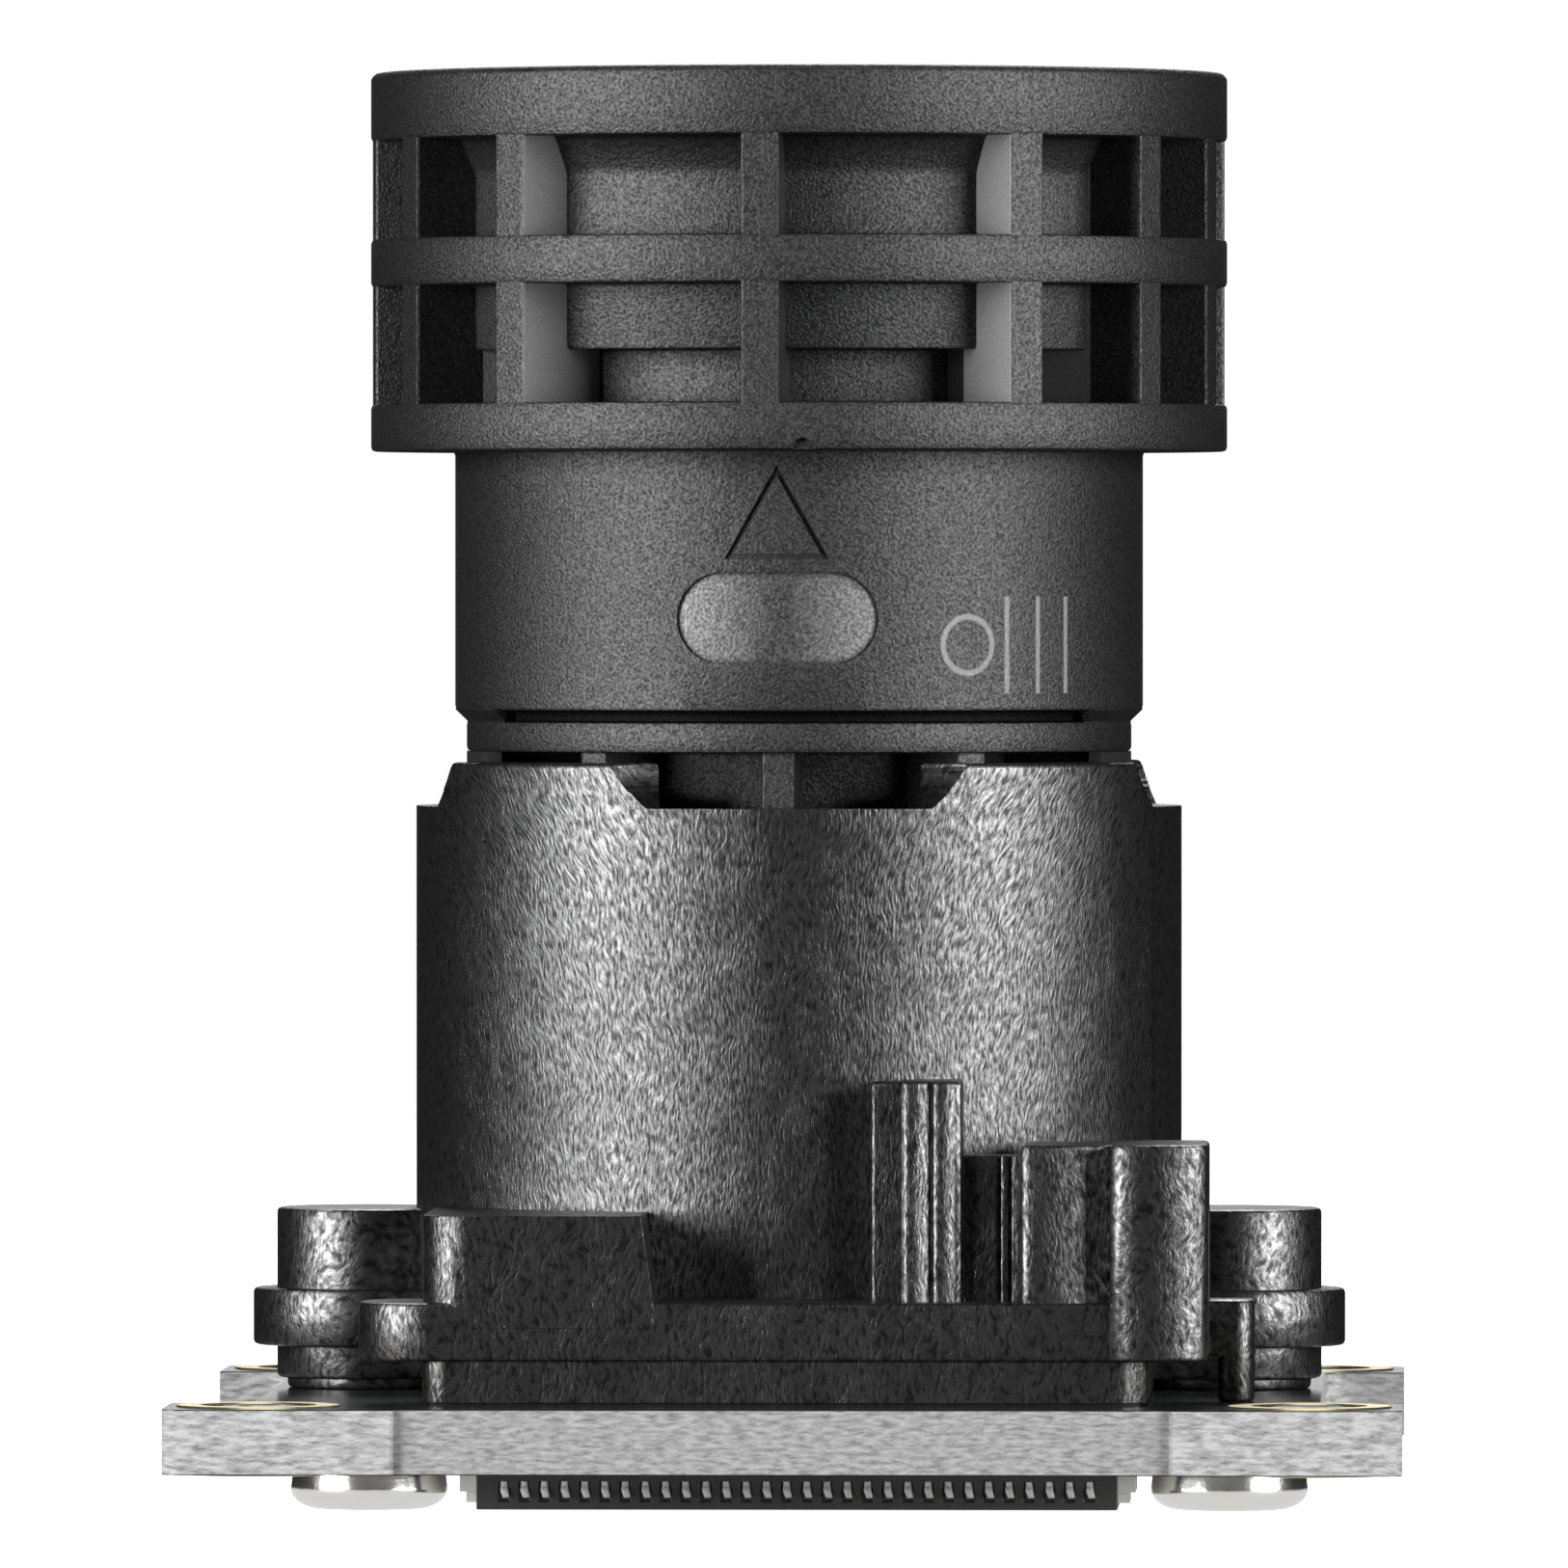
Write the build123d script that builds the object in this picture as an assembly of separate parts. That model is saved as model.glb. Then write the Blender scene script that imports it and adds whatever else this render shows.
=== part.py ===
# Miniature camera module: a finned plastic lens barrel glued in a screwed lens holder,
# over an image sensor on a small circuit board with a board-to-board connector below.
# Millimetres, +Z along the optical axis towards the scene, -Y is the side with the marks.
# The origin is on the plane that the screw heads stand on, under the optical axis.
from build123d import *
import math
import os

os.makedirs("parts", exist_ok=True)

# Fits
running_clearance = 0.03
screw_clearance = 0.02

# Circuit board
board_width = 24.0
board_depth = 24.0
board_thickness = 1.27
board_corner_radius = 0.35
board_ear_depth = 3.6
board_waist_recess = 1.6
board_waist_radius = 0.6
board_edge_recess = 0.15
board_edge_recess_inset = 4.5
mounting_hole_edge_distance = 1.8
mounting_hole_radius = 1.1
screw_hole_radius = 0.95

# Screws that pull the holder onto the board
screw_connector_gap = 0.29
screw_head_radius = 1.56
screw_head_height = 1.14
screw_head_bevel = 0.2
screw_head_side_height = 0.74
screw_shank_radius = 0.8
screw_shank_length = 4.2
screw_point_length = 0.5
screw_recess_length = 1.7
screw_recess_width = 0.34
screw_recess_depth = 0.6
screw_hole_spare_depth = 0.3

# Board-to-board connector under the board
contact_count = 30
contact_pitch = 0.4
contact_width = 0.16
contact_thickness = 0.12
contact_foot_length = 0.55
contact_tip_gap = 0.2
connector_end_margin = 0.55
connector_body_width = 3.2
connector_clearance = 0.04
connector_wall = 0.45
connector_socket_depth = 0.75
connector_tongue_width = 0.9
connector_tongue_margin = 0.35
hold_down_length = 0.35
hold_down_width = 2.3
hold_down_gap = 0.12

# Lens holder
glue_thickness = 0.05
glue_inset = 0.15
base_side_wall = 0.95
base_front_wall = 1.0
base_corner_radius = 0.5
lip_rise = 0.81
lip_thickness = 1.14
lip_depth = 2.88
lip_corner_radius = 1.43
lip_proud = 0.1
lip_left_overhang = 1.28
lip_right_overhang = 1.05
lug_radius = 2.3
boss_radius = 1.83
boss_rise = 1.59
boss_foot_radius = 1.62
boss_foot_height = 0.21
web_width = 3.0
block_right = 2.65
block_rise = 1.69
block_draft = 0.12
fin_left = 1.65
fin_right = 3.43
fin_rise = 4.29
fin_setback = 1.0
fin_cheek = 0.6
fin_cheek_setback = 0.7
ridge_positions = (2.5, 3.12)
ridge_radii = (0.26, 0.19)
panel_overlap = 0.1
panel_rise = 2.84
panel_setback = 1.3
panel_thickness = 0.9
panel_groove_positions = (4.15, 4.36)
panel_groove_width = 0.07
panel_groove_depth = 0.12
inner_column_position = 5.58
inner_column_setback = 0.25
inner_column_radius = 0.98
outer_column_position = 7.28
outer_column_proud = 0.35
outer_column_radius = 0.95
column_rise = 3.09
post_overhang = 1.7
post_setback = 2.8
post_radius = 0.36
tube_bore_radius = 6.5
tube_wall = 1.1
tube_length = 9.57
tube_edge_bevel = 0.12
notch_count = 4
notch_depth = 0.88
notch_floor_width = 5.32
notch_mouth_width = 7.04
cavity_side_clearance = 0.4
cavity_row_space = 1.6
cavity_corner_radius = 0.6
core_pocket_end_wall = 1.25
core_pocket_depth = 2.2
core_pocket_height = 1.3
core_pocket_rib = 0.8
floor_rise = 0.8
base_roof = 0.5
window_ledge = 0.5

# Filter and image sensor
filter_width = 9.6
filter_depth = 6.8
filter_thickness = 0.3
package_width = 11.4
package_depth = 8.6
package_floor = 0.45
package_wall = 0.6
package_dam = 0.4
die_margin = 0.4
die_thickness = 0.2
cover_glass_thickness = 0.4

# Lens barrel, upwards from the holder
alignment_gap = 0.2
neck_overlap = 0.1
neck_height = 0.6
groove_depth = 0.25
groove_width = 0.22
groove_bridge_angle = 60.0
barrel_step = 0.23
barrel_height = 5.12
hood_fin_depth = 1.3
hood_rim_bevel = 0.2
low_ring_height = 0.93
low_window_height = 2.33
low_core_height = 1.04
middle_ring_height = 0.94
high_window_height = 1.95
top_ring_height = 1.35
low_core_wall = 1.25
high_core_wall = 1.3
flare_height = 0.7
flare_spread = 0.35
rim_width = 1.2
rim_cone_depth = 1.4
hood_turn = -3.5
hood_rib_width = 0.75
hood_rib_setback = 0.04
hood_rib_angles = (0, 37, 60, 80, 100, 120, 143, 180, -143, -120, -100, -80, -60, -37)

# Skirt of the barrel, down inside the holder
skirt_wall = 0.8
skirt_length = 7.66
skirt_rib_count = 10
skirt_rib_width = 0.64
skirt_rib_length = 5.4
skirt_rib_clearance = 0.15

# Marks moulded into the barrel
mark_turn = -2.0
mark_depth = 0.07
pocket_length = 3.96
pocket_height = 1.8
pocket_rise = 0.92
triangle_height = 1.84
triangle_half_width = 1.03
triangle_line = 0.1
triangle_gap = 0.26

# Lens stack, downwards from the front seat
front_seat_depth = 4.5
front_bore_radius = 5.9
front_seat_width = 1.0
rear_bore_radius = 3.7
stop_web_width = 0.5
stop_web_thickness = 1.0
seal_height = 0.5
seal_gap = 0.5
front_lens_edge = 1.48
front_lens_front_curve = 14.0
front_lens_front_rim = 0.4
front_lens_rear_curve = 8.0
front_lens_rear_rim = 1.3
front_ring_height = 1.4
front_ring_overlap = 0.36
second_lens_edge = 2.0
second_lens_rear_curve = 9.0
second_lens_rear_rim = 1.2
middle_spacer_height = 1.4
third_lens_edge = 2.0
third_lens_front_curve = 12.0
third_lens_front_rim = 1.0
spacer_width = 0.9
stop_thickness = 0.15
stop_opening_radius = 2.1
fourth_lens_edge = 2.5
fourth_lens_rear_curve = 8.0
fourth_lens_rear_rim = 0.8
rear_spacer_height = 1.7
rear_spacer_width = 0.7
fifth_lens_edge = 2.6
fifth_lens_front_curve = 10.0
fifth_lens_front_rim = 0.8
rear_ring_height = 0.9
rear_ring_width = 0.7

# Small parts soldered to the board
chip_length = 1.0
chip_width = 0.5
chip_cap_length = 0.25
chip_cap_proud = 0.03
chip_count_per_row = 3
chip_pitch = 3.2
chip_row_gap = 0.55
resistor_thickness = 0.35
memory_length = 3.0
memory_width = 2.0
memory_thickness = 0.6
regulator_length = 2.0
regulator_width = 2.0
regulator_thickness = 0.75
oscillator_length = 2.5
oscillator_width = 2.0
oscillator_thickness = 0.7
oscillator_lid_inset = 0.2
oscillator_lid_thickness = 0.1
rear_row_gap = 3.2
rear_row_pitch = 3.6

# Widths and radii that follow from the sizes above
cavity_width = package_width + 2 * cavity_side_clearance
cavity_depth = package_depth + 2 * cavity_row_space
base_width = cavity_width + 2 * base_side_wall
base_depth = cavity_depth + 2 * (core_pocket_rib + core_pocket_depth + base_front_wall)
lip_front = base_depth / 2 + lip_proud
lip_left_reach = base_width / 2 + lip_left_overhang
lip_right_reach = base_width / 2 + lip_right_overhang
connector_length = (contact_count - 1) * contact_pitch + 2 * connector_end_margin
screw_offset = hold_down_length + screw_connector_gap + screw_head_radius
screw_spacing = connector_length + 2 * screw_offset
tube_radius = tube_bore_radius + tube_wall
neck_radius = tube_bore_radius + neck_overlap
groove_radius = neck_radius - groove_depth
barrel_radius = neck_radius + barrel_step
middle_bore_radius = front_bore_radius - front_seat_width
stop_bore_radius = rear_bore_radius - stop_web_width
skirt_radius = rear_bore_radius + skirt_wall
low_core_radius = middle_bore_radius + low_core_wall
high_core_radius = front_bore_radius + high_core_wall
hood_radius = high_core_radius + hood_fin_depth
rim_mouth_radius = hood_radius - rim_width
front_lens_radius = front_bore_radius - seal_gap
middle_lens_radius = middle_bore_radius - running_clearance
rear_lens_radius = rear_bore_radius - running_clearance
capacitor_row = package_depth / 2 + chip_row_gap + chip_width / 2
resistor_row = base_depth / 2 - base_front_wall - core_pocket_depth / 2
die_width = package_width - 2 * (package_wall + die_margin)
die_depth = package_depth - 2 * (package_wall + die_margin)

# Heights that follow from the sizes above
board_bottom = screw_head_height
board_top = board_bottom + board_thickness
holder_bottom = board_top + glue_thickness
lip_bottom = holder_bottom + lip_rise
lip_top = lip_bottom + lip_thickness
boss_top = lip_top + boss_rise
notch_floor = lip_top + tube_length
holder_top = notch_floor + notch_depth
cavity_top = lip_top - base_roof
floor_top = lip_top + floor_rise
neck_bottom = holder_top + alignment_gap
neck_top = neck_bottom + neck_height
barrel_bottom = neck_top + groove_width
hood_bottom = barrel_bottom + barrel_height
low_window_bottom = hood_bottom + low_ring_height
low_core_top = low_window_bottom + low_core_height
middle_ring_bottom = low_window_bottom + low_window_height
high_window_bottom = middle_ring_bottom + middle_ring_height
top_ring_bottom = high_window_bottom + high_window_height
hood_top = top_ring_bottom + top_ring_height
skirt_bottom = neck_bottom - skirt_length
front_seat = hood_top - front_seat_depth
second_lens_bottom = front_seat - second_lens_edge
middle_spacer_bottom = second_lens_bottom - middle_spacer_height
stop_web_top = middle_spacer_bottom - third_lens_edge
stop_web_bottom = stop_web_top - stop_web_thickness
stop_bottom = stop_web_bottom - stop_thickness
fourth_lens_bottom = stop_bottom - fourth_lens_edge
rear_spacer_bottom = fourth_lens_bottom - rear_spacer_height
fifth_lens_bottom = rear_spacer_bottom - fifth_lens_edge
rear_ring_bottom = fifth_lens_bottom - rear_ring_height
package_top = board_top + package_floor + package_dam
contact_row = connector_body_width / 2
rear_row = connector_body_width / 2 + contact_foot_length + rear_row_gap


def prism(outline, bottom, top):
    """A flat outline pulled up from one height to another."""
    return Pos(0, 0, bottom) * extrude(outline, top - bottom)


def tube(outer, inner, bottom, top):
    """A plain ring about the optical axis."""
    return prism(Circle(outer) - Circle(inner), bottom, top)


def slab(left, right, front, back, bottom, top):
    """A block between named faces."""
    outline = Pos((left + right) / 2, (front + back) / 2) * Rectangle(right - left, back - front)
    return prism(outline, bottom, top)


def turned(points):
    """A solid turned about the optical axis from its half outline."""
    outline = make_face(Polyline(*points, close=True))
    return revolve(Plane.XZ * outline, Axis.Z)


def circuit_board():
    """Stiff laminate with four eared corners, a waist at each side and drilled holes."""
    outline = RectangleRounded(board_width, board_depth, board_corner_radius)
    waist_depth = board_depth - 2 * board_ear_depth
    edge_length = board_width - 2 * board_edge_recess_inset
    for side in (-1, 1):
        cut = RectangleRounded(2 * board_waist_recess, waist_depth, board_waist_radius)
        outline -= Pos(side * board_width / 2, 0) * cut
        edge = Rectangle(edge_length, 2 * board_edge_recess)
        outline -= Pos(0, side * board_depth / 2) * edge
    hole_spacing_x = board_width - 2 * mounting_hole_edge_distance
    hole_spacing_y = board_depth - 2 * mounting_hole_edge_distance
    holes = GridLocations(hole_spacing_x, hole_spacing_y, 2, 2)
    outline -= holes * Circle(mounting_hole_radius)
    outline -= GridLocations(screw_spacing, 1, 2, 1) * Circle(screw_hole_radius)
    return prism(outline, board_bottom, board_top)


def holder_screw(side):
    """Pan head screw driven up through the board into the holder's boss."""
    face = screw_head_radius - 2 * screw_head_bevel
    shoulder = screw_head_radius - screw_head_bevel / 2
    collar = board_bottom - screw_head_side_height
    head = turned(
        [
            (0, 0),
            (face, 0),
            (shoulder, screw_head_bevel),
            (screw_head_radius, collar),
            (screw_head_radius, board_bottom),
            (0, board_bottom),
        ]
    )
    shank = prism(Circle(screw_shank_radius), board_bottom, board_bottom + screw_shank_length)
    shank = chamfer(shank.edges().group_by(Axis.Z)[-1], screw_point_length, screw_shank_radius / 2)
    recess = Rectangle(screw_recess_length, screw_recess_width)
    recess += Rectangle(screw_recess_width, screw_recess_length)
    screw = head + shank - prism(recess, 0, screw_recess_depth)
    return Pos(side * screw_spacing / 2, 0, 0) * screw


def connector_body():
    """Moulded receptacle with a ring-shaped socket round its tongue."""
    bottom = connector_clearance
    body = prism(Rectangle(connector_length, connector_body_width), bottom, board_bottom)
    inner_length = connector_length - 2 * connector_wall
    inner_width = connector_body_width - 2 * connector_wall
    socket = Rectangle(inner_length, inner_width)
    socket -= Rectangle(inner_length - 2 * connector_tongue_margin, connector_tongue_width)
    return body - prism(socket, bottom, bottom + connector_socket_depth)


def connector_contacts():
    """Two rows of bent contacts, soldered by their feet to the board."""
    low = connector_clearance + contact_tip_gap
    foot = board_bottom - contact_thickness
    inner = contact_row
    outer = contact_row + contact_thickness
    reach = contact_row + contact_foot_length
    corners = ((inner, low), (outer, low), (outer, foot), (reach, foot))
    corners += ((reach, board_bottom), (inner, board_bottom))
    side = make_face(Polyline(*corners, close=True))
    contact = extrude(Plane.YZ * side, contact_width / 2, both=True)
    contacts = []
    for place in GridLocations(contact_pitch, 1, contact_count, 1):
        for turn in (0, 180):
            contacts.append(Rot(0, 0, turn) * place * contact)
    return Compound(contacts)


def connector_hold_downs():
    """Metal tabs at both ends that anchor the receptacle to the board."""
    tabs = []
    start = connector_length / 2
    for side in (-1, 1):
        place = Pos(side * (start + hold_down_length / 2), 0)
        outline = place * Rectangle(hold_down_length, hold_down_width)
        tabs.append(prism(outline, connector_clearance + hold_down_gap, board_bottom))
    return Compound(tabs)


def base_cavities():
    """Room for the sensor, and the pockets that keep the base's walls even."""
    outline = RectangleRounded(cavity_width, cavity_depth, cavity_corner_radius)
    room = prism(outline, board_top, cavity_top)
    pocket_width = base_width - 2 * core_pocket_end_wall
    for side in (-1, 1):
        pocket = Pos(0, side * resistor_row) * Rectangle(pocket_width, core_pocket_depth)
        room += prism(pocket, board_top, holder_bottom + core_pocket_height)
    return room


def holder_base():
    """Foot of the holder with its lips, screw bosses and lugs."""
    outline = RectangleRounded(base_width, base_depth, base_corner_radius)
    base = prism(outline, holder_bottom, lip_top)
    lip_length = lip_left_reach + lip_right_reach
    lip = RectangleRounded(lip_length, lip_depth, lip_corner_radius)
    across = lip_front - lip_depth / 2
    for side in (-1, 1):
        place = Pos((lip_right_reach - lip_left_reach) / 2, side * across)
        base += prism(place * lip, lip_bottom, lip_top)
    foot_top = board_top + boss_foot_height
    for side in (-1, 1):
        centre = Pos(side * screw_spacing / 2, 0)
        base += prism(centre * Circle(boss_radius), foot_top, boss_top)
        foot = centre * Circle(boss_foot_radius) - Rectangle(base_width, base_depth)
        base += prism(foot, board_top, foot_top)
        base += prism(centre * Circle(lug_radius), lip_bottom, lip_top)
        web = Pos(side * (screw_spacing + base_width) / 4, 0)
        web *= Rectangle((screw_spacing - base_width) / 2 + base_corner_radius, web_width)
        base += prism(web, foot_top, boss_top)
    return base


def holder_front_details():
    """Gate block, locating fin, panel, columns and post on the front of the base."""
    back = -tube_bore_radius / 2
    block_left = base_width / 2
    block_top = lip_top + block_rise
    side = make_face(
        Polyline(
            (-block_left, lip_top),
            (-block_right + block_draft, lip_top),
            (-block_right - block_draft, block_top),
            (-block_left, block_top),
            close=True,
        )
    )
    block = extrude(Plane.XZ * side, lip_front) - slab(
        -block_left, -block_right + block_draft, back, 0, lip_bottom, block_top
    )
    corner = block.edges().filter_by(Axis.Z).group_by(Axis.Y)[0].sort_by(Axis.X)[0]
    details = fillet(corner, base_corner_radius)
    fin_top = lip_top + fin_rise
    cheek = fin_left + fin_cheek
    fin_front = lip_front - fin_setback
    details += slab(cheek, fin_right, -fin_front, back, lip_bottom, fin_top)
    details += slab(fin_left, cheek, fin_cheek_setback - fin_front, back, lip_bottom, fin_top)
    for place, radius in zip(ridge_positions, ridge_radii):
        details += prism(Pos(place, -fin_front) * Circle(radius), lip_bottom, fin_top)
    panel_top = lip_top + panel_rise
    panel_front = lip_front - panel_setback
    panel_back = panel_thickness - panel_front
    panel_right = inner_column_position - inner_column_radius + panel_overlap
    panel = slab(fin_right, panel_right, -panel_front, panel_back, lip_bottom, panel_top)
    for place in panel_groove_positions:
        half = panel_groove_width / 2
        depth = panel_groove_depth - panel_front
        panel -= slab(place - half, place + half, -panel_front, depth, lip_top, panel_top)
    details += panel
    column_top = lip_top + column_rise
    columns = (
        (inner_column_position, lip_front - inner_column_setback, inner_column_radius),
        (outer_column_position, lip_front + outer_column_proud, outer_column_radius),
    )
    for place, reach, radius in columns:
        middle = radius - reach
        details += prism(Pos(place, middle) * Circle(radius), lip_bottom, column_top)
        details += slab(place - radius, place + radius, middle, -tube_bore_radius, lip_bottom, column_top)
    post_position = base_width / 2 + post_overhang
    post_middle = post_setback - lip_front
    post = Pos(post_position, post_middle) * Circle(post_radius)
    details += prism(post, board_top, lip_top)
    bridge_front = post_middle - post_radius
    bridge_back = post_middle + post_radius
    bridge_left = lip_right_reach - lip_corner_radius
    details += slab(bridge_left, post_position, bridge_front, bridge_back, lip_bottom, lip_top)
    return details


def lens_holder():
    """One moulding: foot, screw bosses and the notched tube that takes the barrel."""
    holder = holder_base() + holder_front_details()
    shell = prism(Circle(tube_radius), lip_bottom, holder_top)
    top_edge = shell.edges().group_by(Axis.Z)[-1]
    holder += chamfer(top_edge, tube_edge_bevel)
    holder -= prism(Circle(tube_bore_radius), floor_top, holder_top)
    half_floor = notch_floor_width / 2
    half_mouth = notch_mouth_width / 2
    notch_side = make_face(
        Polyline(
            (-half_floor, notch_floor),
            (half_floor, notch_floor),
            (half_mouth, holder_top),
            (-half_mouth, holder_top),
            close=True,
        )
    )
    notch = extrude(Plane.XZ * notch_side, tube_radius)
    notch -= prism(Circle(tube_bore_radius / 2), notch_floor, holder_top)
    for index in range(notch_count):
        holder -= Rot(0, 0, index * 360 / notch_count) * notch
    holder -= base_cavities()
    window = Rectangle(filter_width - 2 * window_ledge, filter_depth - 2 * window_ledge)
    holder -= prism(window, cavity_top, floor_top)
    seat = Rectangle(filter_width + 2 * running_clearance, filter_depth + 2 * running_clearance)
    holder -= prism(seat, floor_top - filter_thickness, floor_top)
    pilot_radius = screw_shank_radius + screw_clearance
    pilot_top = board_bottom + screw_shank_length + screw_hole_spare_depth
    pilots = Sketch() + GridLocations(screw_spacing, 1, 2, 1) * Circle(pilot_radius)
    return holder - prism(pilots, board_top, pilot_top)


def holder_adhesive():
    """Bead of adhesive that seals the foot of the holder to the board."""
    bead = Rectangle(base_width - 2 * glue_inset, base_depth - 2 * glue_inset)
    return prism(bead, board_top, holder_bottom) - base_cavities()


def barrel_adhesive():
    """Two beads in the side notches that hold the barrel where it was aligned."""
    inner = tube_bore_radius - skirt_rib_clearance + running_clearance
    bead = tube(neck_radius, inner, notch_floor, neck_bottom)
    reach = slab(0, tube_radius, -notch_floor_width / 2, notch_floor_width / 2, notch_floor, neck_bottom)
    bead = bead & reach
    return Compound([bead, Rot(0, 0, 180) * bead])


def barrel_marks():
    """Cutter for the obround pocket and the outlined triangle above it."""
    depth_limit = Cylinder(barrel_radius - mark_depth, 2 * hood_top)
    middle = barrel_bottom + pocket_rise + pocket_height / 2
    marks = Pos(0, middle) * SlotOverall(pocket_length, pocket_height)
    base = middle + pocket_height / 2 + triangle_gap
    half = triangle_half_width
    outer = Polyline((-half, base), (half, base), (0, base + triangle_height), close=True)
    outline = make_face(outer)
    marks += outline - offset(outline, -triangle_line, kind=Kind.INTERSECTION)
    cutter = extrude(Plane.XZ * marks, barrel_radius + mark_depth)
    return Rot(0, 0, mark_turn) * (cutter - depth_limit)


def lens_barrel():
    """One moulding: ribbed skirt, neck, barrel and the hood with its rings and ribs."""
    rim = hood_rim_bevel
    outline = [
        (skirt_radius, skirt_bottom),
        (skirt_radius, neck_bottom),
        (neck_radius, neck_bottom),
        (neck_radius, neck_top),
        (groove_radius, neck_top),
        (groove_radius, barrel_bottom),
        (barrel_radius, barrel_bottom),
        (barrel_radius, hood_bottom),
        (hood_radius, hood_bottom),
        (hood_radius, low_window_bottom),
        (low_core_radius, low_window_bottom),
        (low_core_radius, low_core_top),
        (high_core_radius, low_core_top),
        (high_core_radius, middle_ring_bottom),
        (hood_radius, middle_ring_bottom),
        (hood_radius, high_window_bottom),
        (high_core_radius, high_window_bottom),
        (high_core_radius, top_ring_bottom - flare_height),
        (high_core_radius + flare_spread, top_ring_bottom),
        (hood_radius, top_ring_bottom),
        (hood_radius, hood_top - rim),
        (hood_radius - rim, hood_top),
        (rim_mouth_radius, hood_top),
        (front_bore_radius, hood_top - rim_cone_depth),
        (front_bore_radius, front_seat),
        (middle_bore_radius, front_seat),
        (middle_bore_radius, stop_web_top),
        (stop_bore_radius, stop_web_top),
        (stop_bore_radius, stop_web_bottom),
        (rear_bore_radius, stop_web_bottom),
        (rear_bore_radius, skirt_bottom),
    ]
    barrel = turned(outline)
    rib_outer = Circle(hood_radius - hood_rib_setback) - Circle(low_core_radius)
    rib_reach = Pos(0, -hood_radius / 2) * Rectangle(hood_rib_width, hood_radius)
    hood_rib = prism(rib_outer & rib_reach, low_window_bottom, top_ring_bottom)
    ribs = [Rot(0, 0, hood_turn + angle) * hood_rib for angle in hood_rib_angles]
    skirt_rib_outer = tube_bore_radius - skirt_rib_clearance
    skirt_outline = Circle(skirt_rib_outer) - Circle((skirt_radius + rear_bore_radius) / 2)
    skirt_reach = Pos(0, -tube_bore_radius / 2) * Rectangle(skirt_rib_width, tube_bore_radius)
    skirt_rib = prism(skirt_outline & skirt_reach, neck_bottom - skirt_rib_length, neck_bottom)
    for index in range(skirt_rib_count):
        ribs.append(Rot(0, 0, mark_turn + index * 360 / skirt_rib_count) * skirt_rib)
    bridge_side = make_face(
        Polyline(
            (groove_radius, neck_top),
            (neck_radius, neck_top),
            (barrel_radius, barrel_bottom),
            (groove_radius, barrel_bottom),
            close=True,
        )
    )
    bridge = revolve(Plane.XZ * bridge_side, Axis.Z, groove_bridge_angle)
    for start in (-groove_bridge_angle / 2, 180 - groove_bridge_angle / 2):
        ribs.append(Rot(0, 0, start) * bridge)
    return barrel + ribs - barrel_marks()


def cap_height(curve, aperture, place):
    """Height of a ground face above its rim; a hollow face has a negative curve."""
    size = abs(curve)
    height = math.sqrt(size ** 2 - place ** 2) - math.sqrt(size ** 2 - aperture ** 2)
    return math.copysign(height, curve)


def ground_face(radius, height, curve, rim, upwards):
    """Half outline of a lens face from the axis to the edge; no curve means a flat face."""
    if not curve:
        return [Line((0, height), (radius, height))]
    aperture = radius - rim
    vertex = height + upwards * cap_height(curve, aperture, 0)
    middle = height + upwards * cap_height(curve, aperture, aperture / 2)
    arc = ThreePointArc((0, vertex), (aperture / 2, middle), (aperture, height))
    return [arc, Line((aperture, height), (radius, height))]


def lens_element(radius, bottom, edge, front=(None, 0), rear=(None, 0)):
    """A lens with a cylindrical edge; front and rear each give a curve and a flat rim."""
    top = bottom + edge
    front_face = ground_face(radius, top, *front, 1)
    rear_face = ground_face(radius, bottom, *rear, -1)
    outline = front_face + rear_face
    outline.append(Line((radius, bottom), (radius, top)))
    outline.append(Line(rear_face[0] @ 0, front_face[0] @ 0))
    return revolve(Plane.XZ * make_face(Curve() + outline), Axis.Z)


def front_seal():
    """Square-cut seal squeezed between the front lens and the barrel."""
    outer = front_bore_radius - running_clearance
    inner = front_lens_radius + running_clearance
    return tube(outer, inner, front_seat, front_seat + seal_height)


def front_retaining_ring():
    """Threaded ring that presses the front lens onto its seat."""
    outer = front_bore_radius - running_clearance
    inner = front_lens_radius - front_ring_overlap
    bottom = front_seat + front_lens_edge
    return tube(outer, inner, bottom, bottom + front_ring_height)


def spacer(outer, width, bottom, height):
    """Blackened metal ring between two lenses, or the threaded one behind them."""
    return tube(outer, outer - width, bottom, bottom + height)


def aperture_stop():
    """Thin blackened ring that limits the light."""
    outer = rear_bore_radius - running_clearance
    return tube(outer, stop_opening_radius, stop_bottom, stop_web_bottom)


def sensor_package():
    """Sensor carrier with a raised dam round the die."""
    body = prism(Rectangle(package_width, package_depth), board_top, package_top)
    inner = Rectangle(package_width - 2 * package_wall, package_depth - 2 * package_wall)
    return body - prism(inner, board_top + package_floor, package_top)


def chip(height, bottom):
    """Ceramic chip with metal caps that stand slightly proud of it."""
    side = chip_width / 2 - chip_cap_proud
    body = slab(-chip_length / 2, chip_length / 2, -side, side, bottom, bottom + height - chip_cap_proud)
    for end in (-1, 1):
        middle = end * (chip_length - chip_cap_length) / 2
        cap = Pos(middle, 0) * Rectangle(chip_cap_length, chip_width)
        body += prism(cap, bottom, bottom + height)
    return body


def chip_row(height, across):
    """An even row of chips along each long side of the sensor."""
    chips = []
    for side in (-1, 1):
        for place in GridLocations(chip_pitch, 1, chip_count_per_row, 1):
            chips.append(Pos(0, side * across, 0) * place * chip(height, board_top))
    return Compound(chips)


def underside_part(place, length, width, height):
    """A moulded package on the board's underside, behind the connector."""
    outline = Pos(place * rear_row_pitch, rear_row) * Rectangle(length, width)
    return prism(outline, board_bottom - height, board_bottom)


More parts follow.
